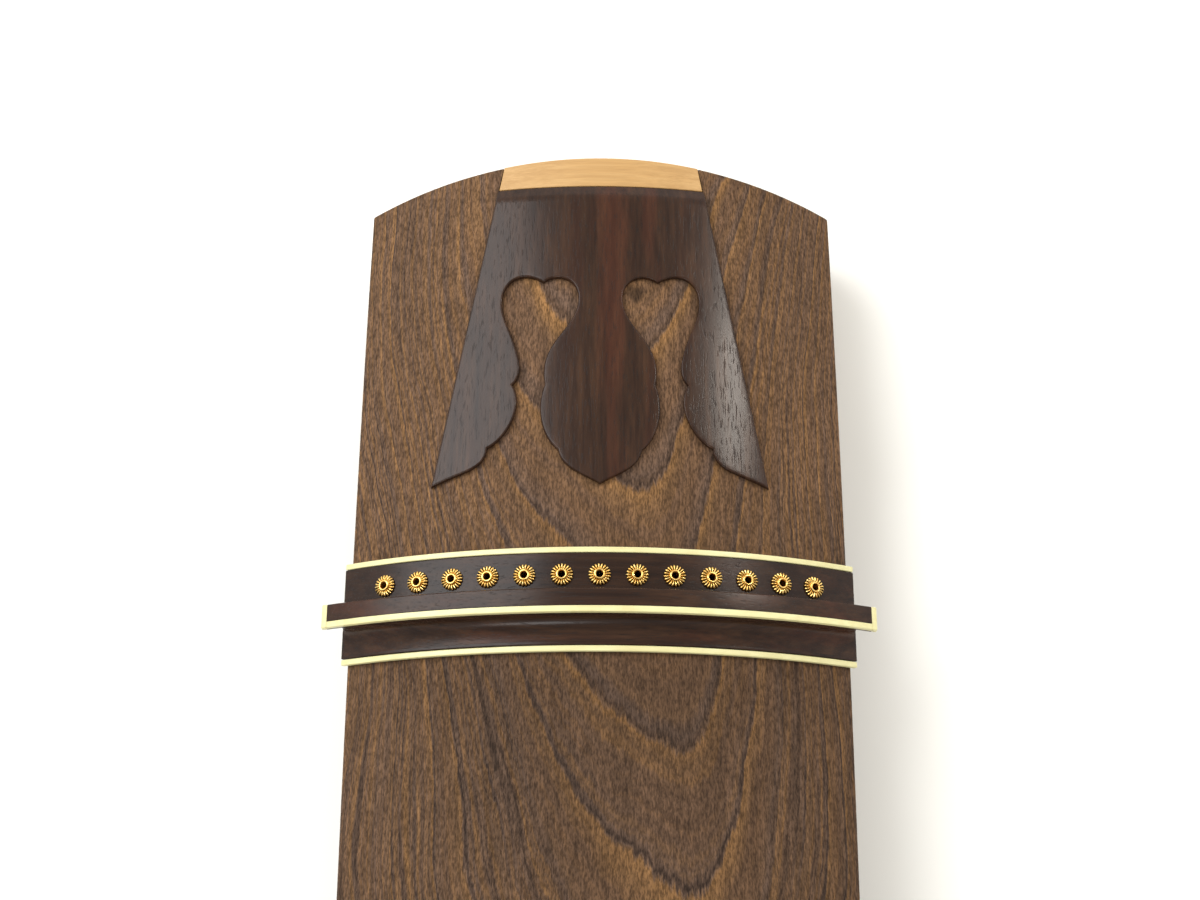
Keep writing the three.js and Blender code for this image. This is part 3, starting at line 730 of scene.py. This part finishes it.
def pale_wood():
    p = Paint("pale_wood")
    band = p.noise((14, 420, 420), detail=3, roughness=0.6)
    fine = p.noise((60, 1900, 1900), detail=2, roughness=0.6, offset=3)
    colour = p.ramp(band, (0.32, (173, 133, 80)), (0.5, (181, 141, 87)), (0.68, (188, 149, 95)))
    colour = p.dim(colour, p.span(fine, 0.3, 0.7, 0.94, 1.05))
    return p.finish(colour, p.span(fine, 0.3, 0.7, 0.55, 0.42), fine, 0.00006, Specular_IOR_Level=0.4)


def plain_wood():
    p = Paint("plain_wood")
    band = p.noise((9, 240, 240), detail=3, roughness=0.6)
    fine = p.noise((60, 1500, 1500), detail=2, roughness=0.6, offset=3)
    colour = p.ramp(band, (0.3, (150, 114, 74)), (0.5, (178, 140, 96)), (0.7, (196, 160, 114)))
    colour = p.dim(colour, p.span(fine, 0.3, 0.7, 0.85, 1.1))
    return p.finish(colour, p.span(fine, 0.3, 0.7, 0.75, 0.6), fine, 0.0001, Specular_IOR_Level=0.25)


BOARD = scorched_paulownia()
ROSEWOOD_X = rosewood("rosewood_across", 0, redness=0.3)
ROSEWOOD_Y = rosewood("rosewood_lengthwise", 1, offset=20)
ROSEWOOD_LEAF = rosewood("rosewood_leaf", 1, redness=0.18, offset=30, heart=0.014)
# painted shade: a dimmer copy of the rosewood for the base strips between bar and borders
ROSEWOOD_BASE_SHADED = rosewood("rosewood_base_painted_shade", 0, redness=0.15, offset=50, shade=0.72)
ROSEWOOD_Z = rosewood("rosewood_upright", 2, redness=0.3, offset=40)
IVORY = ivory()
GILT = gilt()
PALE_WOOD = pale_wood()
PLAIN_WOOD = plain_wood()


# ---- body

def shell_paths():
    """The inner and outer paths of the shell's section, from the left rim over the top to the right."""
    rim = BACK_THICKNESS + GAP
    top = np.linspace(-HALF_WIDTH, HALF_WIDTH, 81)
    outer = np.column_stack([top, arch_height(top)])
    outer = np.vstack([[-RIM_HALF_WIDTH, rim], outer, [RIM_HALF_WIDTH, rim]])
    rise = HOLLOW_CROWN_HEIGHT - HOLLOW_EDGE_HEIGHT
    radius = arc_radius(HOLLOW_HALF_WIDTH, rise)
    roof = np.linspace(-HOLLOW_HALF_WIDTH, HOLLOW_HALF_WIDTH, 81)
    inner = np.column_stack([roof, HOLLOW_CROWN_HEIGHT - arch_drop(roof, radius)])
    inner = np.vstack([[-HOLLOW_HALF_WIDTH, rim], inner, [HOLLOW_HALF_WIDTH, rim]])
    return inner, outer


def shell_place(u, v, w):
    """u goes round the section, v from head to tail and w from the inside out."""
    wall, roof = 6, 80
    at = u * (2 * wall + roof)
    index = np.interp(at, [0, wall, wall + roof, 2 * wall + roof], [0, 1, roof + 1, roof + 2])
    inner, outer = [
        [np.interp(index, np.arange(len(points)), points[:, k]) for k in (0, 1)]
        for points in shell_paths()
    ]
    x, z = [a * (1 - w) + b * w for a, b in zip(inner, outer)]
    return np.stack([x, to_tail(x, v), z], axis=-1)


def rest_half(y, spare=0.0):
    """Half width of the string rest, whose sides carry on the overlay's lean."""
    lean = (LEAF_TIP[0] - REST_HALF_WIDTH) / (REST_INNER_EDGE - LEAF_TIP[1])
    return REST_HALF_WIDTH - spare - lean * (y - TAIL_RIDGE_Y - REST_INNER_EDGE)


def rest_place(spare, low, high, end):
    """A slab under the arched top with the string rest's plan."""
    start = TAIL_RIDGE_Y + REST_INNER_EDGE + spare

    def place(u, v, w):
        y = start + v * (HALF_LENGTH - start)
        for _ in range(4):
            x = (2 * u - 1) * rest_half(y, spare)
            y = start + v * (end(x) - start)
        return np.stack([x, y, arch_height(x, low + w * (high - low))], axis=-1)

    return place


def string_seats(ridge_y, side):
    """For each string, its seat on the base strip and the direction that the hole comes out, in metres."""
    count = np.arange(STRING_COUNT) - (STRING_COUNT - 1) / 2
    angles = count * EYELET_PITCH / (ARCH_RADIUS + BASE_THICKNESS)

    def at(height):
        reach = ARCH_RADIUS + height
        y = np.full(STRING_COUNT, ridge_y + side * EYELET_Y)
        return to_row(np.column_stack([reach * np.sin(angles), y, ARCH_CENTRE + reach * np.cos(angles)]))

    foot, above = at(BASE_THICKNESS), at(BASE_THICKNESS + 2 * SPARE)
    return [(Vector(a), Vector(b - a).normalized()) for a, b in zip(foot, above)]


def seat_matrix(foot, normal):
    return Matrix.Translation(foot) @ Vector((0, 0, 1)).rotation_difference(normal).to_matrix().to_4x4()


def drills(name, ridge_y, side):
    """The thirteen string holes of a ridge as one tool."""
    angles = np.linspace(0, 2 * math.pi, 20, endpoint=False)
    circle = np.column_stack([np.cos(angles), np.sin(angles)]) * STRING_HOLE_RADIUS
    vertices, faces = stack(prism(circle, -STRING_HOLE_DEPTH, 2 * SPARE))
    holes = []
    for foot, normal in string_seats(ridge_y, side):
        turn = np.array(seat_matrix(foot, normal))
        holes.append((vertices * MM @ turn[:3, :3].T + turn[:3, 3], faces))
    return mesh_object(name, *joined(holes))


def side_strip_shape(side, inset_by, outward):
    """The strip let into the side wall at the head, or its pocket, leaning with the wall."""
    shell_end = BODY_START - GAP
    start = shell_end + (inset_by if inset_by > 0 else -SPARE)
    end = shell_end + SIDE_STRIP_LENGTH - inset_by
    low, high = SIDE_STRIP_LOW + inset_by, SIDE_STRIP_HIGH - inset_by
    point = end + SIDE_STRIP_POINT
    outline = [[start, low], [end, low], [point, (low + high) / 2], [end, high], [start, high]]
    inner, outer = RIM_HALF_WIDTH - SIDE_STRIP_DEPTH + inset_by, RIM_HALF_WIDTH + outward
    vertices, faces = along_x(stack(prism(np.array(outline), inner, outer)))
    lean = (HALF_WIDTH - RIM_HALF_WIDTH) / (EDGE_HEIGHT - BACK_THICKNESS)
    vertices[:, 0] = side * (vertices[:, 0] + lean * (vertices[:, 2] - BACK_THICKNESS))
    return vertices, faces


def make_top_shell():
    shell = solid("top_shell_fine", block((92, 72, 3), shell_place))
    ease_edges(shell, ARRIS)
    pocket = rest_place(0, -REST_DEPTH, SPARE, lambda x: HALF_LENGTH + SPARE + 0 * x)
    carve(
        shell,
        solid("pocket", block((24, 2, 2), pocket)),
        solid("strip_pocket_left", side_strip_shape(-1, 0, SPARE)),
        solid("strip_pocket_right", side_strip_shape(1, 0, SPARE)),
        drills("tail_drills", TAIL_RIDGE_Y, 1),
        drills("head_drills", HEAD_RIDGE_Y, -1),
    )
    finish_piece(shell, BOARD)


def sound_hole(y):
    """A round-ended opening whose lower rim is eased."""
    half, reach = SOUND_HOLE_HALF_WIDTH, SOUND_HOLE_LENGTH / 2
    corners = [[half, y + reach], [-half, y + reach], [-half, y - reach], [half, y - reach]]
    outline = rounded(corners, half - 2, steps=16)
    ease = 1.6
    levels = [(ease, -SPARE), *quarter(ease), (0, BACK_THICKNESS + SPARE)]
    return stack([at_level(inset(outline, -d), z) for d, z in levels])


def stand_socket(side):
    half = TENON_HALF_WIDTH + TENON_CLEARANCE
    depth = LEG_THICKNESS / 2 + TENON_CLEARANCE
    x, y = side * STAND_LEG_X, HEAD_RIDGE_Y
    square = np.array([[-1, -1], [1, -1], [1, 1], [-1, 1]])
    outline = square * (half, depth) + (x, y)
    return stack(prism(outline, -SPARE, BACK_THICKNESS + SPARE))


def make_back_board():
    def place(u, v, w):
        half = RIM_HALF_WIDTH - 1 + w
        x = (2 * u - 1) * half
        return np.stack([x, to_tail(x, v), w * BACK_THICKNESS], axis=-1)

    board = solid("back_board_fine", block((24, 72, 2), place))
    ease_edges(board, ARRIS)
    holes = [solid(f"{name}_hole", sound_hole(y)) for name, y in SOUND_HOLES.items()]
    sockets = [solid(f"socket_{side}", stand_socket(side)) for side in (-1, 1)]
    carve(board, *holes, *sockets)
    finish_piece(board, BOARD)


def make_tail_end_block():
    half = HOLLOW_HALF_WIDTH - GAP
    edge, crown = HOLLOW_EDGE_HEIGHT - GAP, HOLLOW_CROWN_HEIGHT - 2 * GAP
    radius = arc_radius(half, crown - edge)

    def place(u, v, w):
        x = (2 * u - 1) * half
        low = BACK_THICKNESS + GAP
        z = low + w * (crown - arch_drop(x, radius) - low)
        return np.stack([x, to_tail(x, v, TAIL_BLOCK_START), z], axis=-1)

    plug = solid("tail_end_block_fine", block((60, 4, 8), place))
    ease_edges(plug, 0.5)
    finish_piece(plug, BOARD)


# ---- head end

def make_head_end_board():
    top = np.linspace(HALF_WIDTH, -HALF_WIDTH, 81)
    foot = RIM_HALF_WIDTH - 1
    section = np.vstack([[-foot, 0], [foot, 0], np.column_stack([top, arch_height(top)])])
    loops = prism(section, -HALF_LENGTH, -HALF_LENGTH + END_BOARD_THICKNESS, ease=1.0)
    board = solid("head_end_board_fine", along_y(stack(loops)))
    finish_piece(board, ROSEWOOD_X)


def tongue_outline(grow):
    half, side = TONGUE_HALF_WIDTH + grow, TONGUE_SIDE_HEIGHT + grow
    foot = TONGUE_BASE_HEIGHT - grow
    radius = arc_radius(half, TONGUE_RISE)
    top = np.linspace(half, -half, 49)
    arch = np.column_stack([top, side + TONGUE_RISE - arch_drop(top, radius)])
    t = np.linspace(0, 1, 9)[1:-1, None]
    ends = np.array([half - TONGUE_CORNER, foot]), np.array([half, foot]), np.array([half, side])
    turn = (1 - t) ** 2 * ends[0] + 2 * t * (1 - t) * ends[1] + t ** 2 * ends[2]
    mirror = turn[::-1] * (-1, 1)
    return np.vstack([ends[0] * (-1, 1), ends[0], turn, arch, mirror])


def make_tongue():
    """A raised panel on the head end, with a stepped and rounded face and an ivory border."""
    face = -HALF_LENGTH
    front, back = face - TONGUE_THICKNESS, face - GAP
    outline = tongue_outline(0)
    step = 1.1
    levels = [(0, back), (0, front + 2.2), (0.5, front + 1.6), (1.5, front + 1.3), (8, front + step)]
    levels += [(8.6, front + 0.5), (9.4, front + 0.1), (10.5, front)]
    loops = [at_level(inset(outline, d), y) for d, y in levels]
    tongue = solid("head_tongue_fine", along_y(stack(loops)))
    finish_piece(tongue, ROSEWOOD_X)

    near, far = GAP, GAP + TONGUE_BORDER
    high, turn = front + 1, quarter(0.9, steps=2)
    levels = [(far, back)]
    levels += [(far - rise, high + d) for d, rise in turn]
    levels += [(near + rise, high + d) for d, rise in reversed(turn)]
    levels += [(near, back)]
    loops = [at_level(tongue_outline(grow), y) for grow, y in levels]
    border = solid("head_tongue_border_fine", along_y(stack(loops, ring=True)))
    finish_piece(border, IVORY)


def make_side_strips():
    for side, name in SIDES:
        strip = solid(f"side_strip_{name}_fine", side_strip_shape(side, GAP, 0))
        ease_edges(strip, 0.4, limit=30)
        finish_piece(strip, ROSEWOOD_Y)


# ---- tail overlay and string rest

def leaf_outline():
    """Half an oak leaf on each side: each lobe is one curve that ends in a cusp."""
    lobes = [
        ((66.6, 71), (55.5, 70), (54.5, 81.4)),
        ((45.4, 85), (35.9, 102), (43, 112.7)),
        ((35.5, 119), (42.2, 133), (47.2, 146)),
        ((53.6, 162), (44, 175), (28.5, 165.4)),
        ((21.5, 170.5), (8.7, 167), (11.4, 152.5)),
        ((14.8, 138), (31, 133), (27.1, 112)),
        ((31.4, 101), (28.8, 86), (20.2, 79)),
        ((18.2, 69), (6, 66.5), (0, 62.1)),
    ]
    half = path(LEAF_TIP, *[(ahead, behind, end, 16) for ahead, behind, end in lobes])
    edge_end = np.array([REST_HALF_WIDTH, REST_INNER_EDGE - GAP])
    steps = np.linspace(0, 1, 49)[:-1, None]
    edge = edge_end * (1 - steps) + np.array(LEAF_TIP) * steps
    top = np.linspace(-1, 1, 41)[1:-1, None]
    top = np.column_stack([top * edge_end[0], np.full(len(top), edge_end[1])])
    right = np.vstack([edge, half])
    left = right[:-1][::-1] * (-1, 1)
    return np.vstack([right, left, top]) + (0, TAIL_RIDGE_Y)


def overlay_surface(flat, height):
    """Points over the arched top at a height, which runs out along the tail edge."""
    end = TAIL_RIDGE_Y + REST_INNER_EDGE - GAP
    share = np.clip((end - flat[:, 1]) / OVERLAY_BAND, 0, 1)
    limit = 2 * GAP + (OVERLAY_THICKNESS - 2 * GAP) * share
    return np.column_stack([flat, arch_height(flat[:, 0], np.minimum(height, limit))])


def make_overlay():
    outline = leaf_outline()
    levels = [(0, GAP)] + [(rise, OVERLAY_THICKNESS - d) for d, rise in quarter(0.9, steps=4)]
    loops = [overlay_surface(inset(outline, d), h) for d, h in levels]
    vertices, faces = stack(loops)
    shapes = [(vertices, faces[:-2])]
    half = REST_HALF_WIDTH + SPARE
    band_start = TAIL_RIDGE_Y + REST_INNER_EDGE - GAP - OVERLAY_BAND
    crease = np.array([(x, band_start) for x in np.arange(-half, half, 1.5)])
    for distance, height in (levels[0], levels[-1]):
        flat, triangles = filled(inset(outline, distance), 2.2, crease)
        shapes.append((overlay_surface(flat, height), triangles))
    overlay = solid("oak_leaf_overlay_fine", joined(shapes))
    finish_piece(overlay, ROSEWOOD_LEAF)


def make_string_rest():
    place = rest_place(GAP, -REST_DEPTH + GAP, 0, tail_end)
    rest = solid("tail_string_rest_fine", block((32, 6, 4), place))
    ease_edges(rest, 0.5)
    finish_piece(rest, PALE_WOOD)


# ---- ridges

def strip_loops(y_from, y_to, low, high, ease):
    """A strip that follows the arch between two heights above it, with all its edges eased."""
    corners = [[y_from, low], [y_to, low], [y_to, high], [y_from, high]]
    outline = rounded(corners, ease, steps=3)
    half = ARCH_RADIUS * math.asin(BASE_END / ARCH_RADIUS)
    return prism(outline, -half, half, ease=ease * 0.98, steps=96)


def strip_place(ridge_y, side):
    def place(points):
        y, height, arc = coordinates(points)
        angle, reach = arc / ARCH_RADIUS, ARCH_RADIUS + height
        x, z = reach * np.sin(angle), ARCH_CENTRE + reach * np.cos(angle)
        return to_row(np.stack([x, ridge_y + side * y, z], axis=-1))

    return place


def crest_height(x):
    return CROWN_HEIGHT + CREST_HEIGHT - arch_drop(x, CREST_ARCH_RADIUS)


def bar_foot(x):
    """The bar stands on the base strip, and its free tips beyond that are thin."""
    return np.where(np.abs(x) > BASE_END, crest_height(x) - BAR_TIP_HEIGHT, arch_height(x, BASE_THICKNESS))


def bar_place(ridge_y, side):
    """(y, share, x): the share is 0 at the bar's foot, 1 under the crest strip and 2 at the crest."""
    def place(points):
        y, share, x = coordinates(points)
        crest, foot = crest_height(x), bar_foot(x)
        shoulder = crest - STRIP_HEIGHT
        z = foot + np.minimum(share, 1) * (shoulder - foot) + np.maximum(share - 1, 0) * STRIP_HEIGHT
        return to_row(np.stack([x, ridge_y + side * y, z], axis=-1))

    return place


def bar_outline(cove):
    """Back face, flat top, rabbet for the crest strip, then a cove that runs out on the base strip."""
    lip = -STRIP_WIDTH
    toe = [[lip, 0], [BAR_BACK, 0]]
    front = [[lip, 1]]
    if cove:
        toe[0] = [lip - 11, 0]
        curve = bezier([lip - 0.3, 0.62], [lip - 0.8, 0.2], [lip - 4.2, 0.05], [lip - 11, 0.004], 14)
        front = [[lip + 0.2, 1], [lip, 0.97], [lip - 0.3, 0.62], *curve]
    back = [[BAR_BACK, 1.7], [BAR_BACK - 0.25, 1.9], [BAR_BACK - 0.9, 2], [GAP, 2], [GAP, 1]]
    return np.array([*toe, *back, *front])


def bar_shape():
    """The bar over the base strip, and a free tip grown into each of its ends."""
    reach = 1e-3
    parts = [
        (True, np.linspace(-BASE_END, BASE_END, 110)),
        (False, np.array([-BAR_HALF_LENGTH, -BASE_END - 4, -BASE_END - reach])),
        (False, np.array([BASE_END + reach, BASE_END + 4, BAR_HALF_LENGTH])),
    ]
    return joined(stack([at_level(bar_outline(cove), x) for x in stations]) for cove, stations in parts)


def crest_outline():
    under = 1 + GAP / STRIP_HEIGHT
    corner = 0.18
    return np.array([
        [0, under], [0, 2], [-STRIP_WIDTH + 0.55, 2], [-STRIP_WIDTH + 0.16, 2 - 0.05],
        [-STRIP_WIDTH, 2 - corner], [-STRIP_WIDTH, under],
    ])


def make_ridge(name, ridge_y, side):
    inner, outer = BASE_INNER_EDGE + BORDER_WIDTH, BASE_OUTER_EDGE - BORDER_WIDTH
    on_arch, on_bar = strip_place(ridge_y, side), bar_place(ridge_y, side)
    plate = stack(strip_loops(inner + GAP, outer - GAP, GAP, BASE_THICKNESS, 0.35))
    base = solid(f"{name}_base_fine", plate, on_arch)
    carve(base, drills(f"{name}_holes", ridge_y, side))
    # the base strip gets the dimmer rosewood, which is painted shade
    finish_piece(base, ROSEWOOD_BASE_SHADED)
    for edge, y_from, y_to in (("inner", BASE_INNER_EDGE, inner), ("outer", outer, BASE_OUTER_EDGE)):
        border = stack(strip_loops(y_from, y_to, GAP, BASE_THICKNESS, 0.45))
        finish_piece(solid(f"{name}_{edge}_border_fine", border, on_arch), IVORY)
    finish_piece(solid(f"{name}_bar_fine", bar_shape(), on_bar), ROSEWOOD_X)
    crest = stack(prism(crest_outline(), -BAR_HALF_LENGTH, BAR_HALF_LENGTH, steps=110))
    finish_piece(solid(f"{name}_crest_strip_fine", crest, on_bar), IVORY)
    make_caps(name, ridge_y, side)


def make_caps(name, ridge_y, side):
    """Thin ivory plates on the bar's two ends, which carry on the crest's fall."""
    low, high = -STRIP_WIDTH, BAR_BACK
    crest = crest_height(BAR_HALF_LENGTH)
    for end, word in SIDES:
        corners = [[low, crest - BAR_TIP_HEIGHT], [high, crest - BAR_TIP_HEIGHT], [high, crest], [low, crest]]
        inner, outer = BAR_HALF_LENGTH + 0.02, BAR_HALF_LENGTH + GAP + CAP_THICKNESS
        vertices, faces = stack(prism(rounded(corners, 0.7, steps=4), inner, outer, ease=0.5, steps=2))
        y, z, x = vertices.T
        z = z + crest_height(x) - crest
        drawn = np.column_stack([end * x, ridge_y + side * y, z])
        finish_piece(solid(f"{name}_cap_{word}_fine", (drawn, faces)), IVORY)


# ---- eyelets

def eyelet_mesh():
    """A petalled rosette round a collared bore, with its sleeve below."""
    per_petal = 8
    count = EYELET_PETALS * per_petal
    angles = np.arange(count) * 2 * math.pi / count
    ridge = np.abs(np.cos(angles * EYELET_PETALS / 2)) ** 0.8
    bore, sleeve, rim = EYELET_BORE_RADIUS, EYELET_SLEEVE_RADIUS, EYELET_RADIUS
    collar = sleeve + 0.3
    # radius, height, and how far the petals raise the height and pull in the radius there
    rings = [
        (bore, -5, 0, 0), (bore, 1.75, 0, 0), (bore + 0.1, 2.05, 0, 0), (bore + 0.35, 2.2, 0, 0),
        (collar - 0.3, 2.16, 0, 0), (collar - 0.08, 1.95, 0, 0), (collar, 1.6, 0, 0),
        (collar + 0.1, 1.2, 0.05, 0), (collar + 0.35, 0.75, 0.75, 0), (collar + 0.8, 0.5, 1.1, 0),
        (rim - 0.9, 0.4, 1.1, 0), (rim - 0.4, 0.36, 0.86, 0.1), (rim - 0.1, 0.34, 0.5, 0.35),
        (rim, GAP + 0.02, 0.16, 0.6), (rim - 0.05, GAP, 0, 0.6), (sleeve, GAP, 0, 0), (sleeve, -5, 0, 0),
    ]
    loops = []
    for radius, height, lift, pull in rings:
        reach = radius - pull * (1 - ridge)
        loops.append(np.column_stack([reach * np.cos(angles), reach * np.sin(angles), height + lift * ridge]))
    return stack(loops, ring=True)


def make_eyelets(name, ridge_y, side, spin):
    vertices, faces = eyelet_mesh()
    first = None
    for i, (foot, normal) in enumerate(string_seats(ridge_y, side)):
        node = f"{name}_{i + 1}"
        if first is None:
            first = eyelet = mesh_object(f"{node}_fine", vertices * MM, faces, sharp=60)
        else:
            eyelet = add_object(f"{node}_fine", first.data)
        eyelet.matrix_world = seat_matrix(foot, normal) @ Matrix.Rotation(spin.uniform(0, math.tau), 4, "Z")
        finish_piece(eyelet, GILT)


# ---- feet and stand

def make_hind_feet():
    top, sole = HIND_FOOT_TOP, HIND_FOOT_SOLE
    bottom, plate = -HIND_FOOT_HEIGHT, 5
    ankle = bottom + 5
    outline = path(
        (-sole, bottom), (sole, bottom), (sole, ankle),
        ((sole, ankle + 11), (top - 4, -plate), (top, -plate), 12),
        (top, -GAP), (-top, -GAP), (-top, -plate),
        ((-top + 4, -plate), (-sole, ankle + 11), (-sole, ankle), 12),
    )
    half = HIND_FOOT_THICKNESS / 2
    for side, name in SIDES:
        loops = prism(outline, HIND_FOOT_Y - half, HIND_FOOT_Y + half, ease=1.4, steps=4)
        vertices, faces = along_y(stack(loops))
        share = np.clip((ankle - vertices[:, 2]) / (ankle - bottom), 0, 1)
        vertices[:, 0] += side * HIND_FOOT_X
        placed = to_row(vertices)
        sole_y = to_row(np.array([[0, HIND_FOOT_Y - half, bottom], [0, HIND_FOOT_Y + half, bottom]]))
        slant = np.interp(placed[:, 1], sole_y[:, 1], sole_y[:, 2])
        placed[:, 2] = np.maximum(placed[:, 2] - slant * share, 0)
        foot = mesh_object(f"hind_foot_{name}_fine", placed, faces)
        finish_piece(foot, ROSEWOOD_X)


def stand_place(points):
    """Points of the stand, drawn from the back board's face at the tenons, to the row frame."""
    shift = (0, STAND_SEAT[1] + ROW_SHIFT, STAND_SEAT[2] - FLOOR)
    return (np.asarray(points) + shift) * MM


def leg_outline(height):
    """Tenon, shoulder, curved shank and outward-turned paw of the right leg."""
    sole, knee = -height, -0.4 * height
    return path(
        (-13, sole), (15.5, sole),
        ((19, sole), (21.5, sole + 3), (22, sole + 7), 6),
        ((22, sole + 12), (17, sole + 17), (14, sole + 22), 8),
        ((8, sole + 32), (9, knee), (LEG_SHOULDER, -20), 12),
        (LEG_SHOULDER, -GAP), (TENON_HALF_WIDTH, -GAP), (TENON_HALF_WIDTH, TENON_LENGTH),
        (-TENON_HALF_WIDTH, TENON_LENGTH), (-TENON_HALF_WIDTH, -GAP), (-LEG_SHOULDER, -GAP),
        (-LEG_SHOULDER, -RAIL_TOP - RAIL_HEIGHT),
        ((-12, knee), (-14, sole + 30), (-15, sole + 2), 16),
    )


def make_legs():
    """The stand's two legs, which thin at the waist."""
    height = STAND_SEAT[2] - FLOOR
    outline = leg_outline(height)
    half = LEG_THICKNESS / 2
    loops = prism(outline, -half, half, ease=1.3, steps=4)
    for side, name in SIDES:
        vertices, faces = along_y(stack(loops))
        x, y, z = vertices.T
        waist = 1 - 0.16 * np.exp(-(((z + 0.55 * height) / (0.22 * height)) ** 2))
        drawn = np.column_stack([side * (x + STAND_SEAT[0]), y * waist, z])
        leg = solid(f"stand_leg_{name}_fine", (drawn, faces), stand_place)
        finish_piece(leg, ROSEWOOD_Z, "foreleg_stand")


def make_rail():
    """The rail between the legs, its lower edge raised along the middle."""
    end = STAND_SEAT[0] - LEG_SHOULDER - GAP
    low = -RAIL_TOP - RAIL_HEIGHT
    waist = low + 0.4 * RAIL_HEIGHT
    outline = path(
        (-end, -RAIL_TOP), (-end, low),
        ((-0.75 * end, low), (-0.6 * end, waist), (-0.42 * end, waist), 12),
        (0.42 * end, waist),
        ((0.6 * end, waist), (0.75 * end, low), (end, low), 12),
        (end, -RAIL_TOP),
    )
    loops = prism(outline, -RAIL_THICKNESS / 2, RAIL_THICKNESS / 2, ease=1.0, steps=2)
    rail = solid("stand_rail_fine", along_y(stack(loops)), stand_place)
    finish_piece(rail, ROSEWOOD_X, "foreleg_stand")


# ---- the koto

def make_koto():
    make_top_shell()
    make_back_board()
    make_tail_end_block()
    make_head_end_board()
    make_tongue()
    make_side_strips()
    make_overlay()
    make_string_rest()
    spin = np.random.default_rng(13)
    for end, ridge_y, side in (("tail", TAIL_RIDGE_Y, 1), ("head", HEAD_RIDGE_Y, -1)):
        make_ridge(f"{end}_ridge", ridge_y, side)
        make_eyelets(f"{end}_eyelet", ridge_y, side, spin)
    make_hind_feet()
    make_legs()
    make_rail()
    for name in ("head_baffle", "tail_baffle", "inner_brace_1", "inner_brace_2", "inner_brace_3"):
        dress(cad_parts[name], PLAIN_WOOD)


# ---- studio

def make_floor():
    p = Paint("studio_floor")
    cloud = p.noise((1.5, 1.5, 1.5), detail=2)
    colour = p.ramp(cloud, (0.3, (247, 245, 237)), (0.7, (249, 247, 240)))
    material = p.finish(colour, 0.8, Specular_IOR_Level=0.1)
    reach = 30.0
    corners = [(-reach, -reach, 0), (reach, -reach, 0), (reach, reach, 0), (-reach, reach, 0)]
    mesh = bpy.data.meshes.new("floor")
    mesh.from_pydata(corners, [], [(0, 1, 2, 3)])
    mesh.materials.append(material)
    add_object("floor", mesh)


def make_world():
    """Pale all round, dimmer overhead and towards the head."""
    world = bpy.data.worlds.new("studio")
    bpy.context.scene.world = world
    world.use_nodes = True
    nodes, links = world.node_tree.nodes, world.node_tree.links
    direction = nodes.new("ShaderNodeTexCoord").outputs["Generated"]
    split = nodes.new("ShaderNodeSeparateXYZ")
    ramp = nodes.new("ShaderNodeValToRGB")
    steps = ramp.color_ramp.elements
    steps.new(0.45)
    for step, (height, light) in zip(steps, ((0.15, 1.0), (0.45, 1.0), (0.85, 0.5))):
        step.position, step.color = height, (light, light, light, 1)
    side = nodes.new("ShaderNodeMapRange")
    head_y, tail_y, head_light, tail_light = -0.8, 0.1, 0.85, 1.42
    for socket, value in zip(side.inputs[1:5], (head_y, tail_y, head_light, tail_light)):
        socket.default_value = value
    links.new(direction, split.inputs[0])
    links.new(split.outputs["Z"], ramp.inputs[0])
    links.new(split.outputs["Y"], side.inputs[0])
    links.new(ramp.outputs[0], nodes["Background"].inputs["Color"])
    links.new(side.outputs[0], nodes["Background"].inputs["Strength"])


def add_softbox(name, target, direction, size, power, colour):
    """A round light of a size and power, so far from its target in a direction."""
    data = bpy.data.lights.new(name, "AREA")
    data.shape = "DISK"
    data.size = size
    data.energy = power
    data.color = colour
    light = add_object(name, data)
    away = Vector(direction).normalized()
    light.location = Vector(target) + away * LIGHT_DISTANCE
    light.rotation_euler = away.to_track_quat("Z", "Y").to_euler()


def make_lights():
    head = to_row((0, HEAD_RIDGE_Y, CROWN_HEIGHT))
    add_softbox("left_softbox", RIDGE_POINT, (-0.56, 0.37, 0.74), 1.8, 48, COOL)
    add_softbox("right_softbox", RIDGE_POINT, (0.565, 0.44, 0.7), 0.28, 14, WARM)
    add_softbox("head_softbox", head, (-0.3, -0.5, 0.8), 1.2, 30, WHITE)


def make_camera():
    """Looks down on the tail from above the ridge, in a frame that lies on the ridge's crown."""
    data = bpy.data.cameras.new("camera")
    data.lens = CAMERA_LENS
    data.sensor_width = 36
    data.clip_end = 100
    camera = add_object("camera", data)
    slope = TAIL_RIDGE_Y / BOW_RADIUS + TILT
    stand = Matrix.Translation(RIDGE_POINT) @ Matrix.Rotation(-slope, 4, "X")
    aim = Matrix.Rotation(CAMERA_YAW, 4, "Y") @ Matrix.Rotation(CAMERA_PITCH, 4, "X")
    aim = aim @ Matrix.Rotation(CAMERA_ROLL, 4, "Z")
    camera.matrix_world = stand @ Matrix.Translation(CAMERA_PLACE) @ aim
    bpy.context.scene.camera = camera


make_camera()
make_world()
make_lights()
make_floor()
make_koto()
bpy.context.scene.view_settings.view_transform = "Standard"
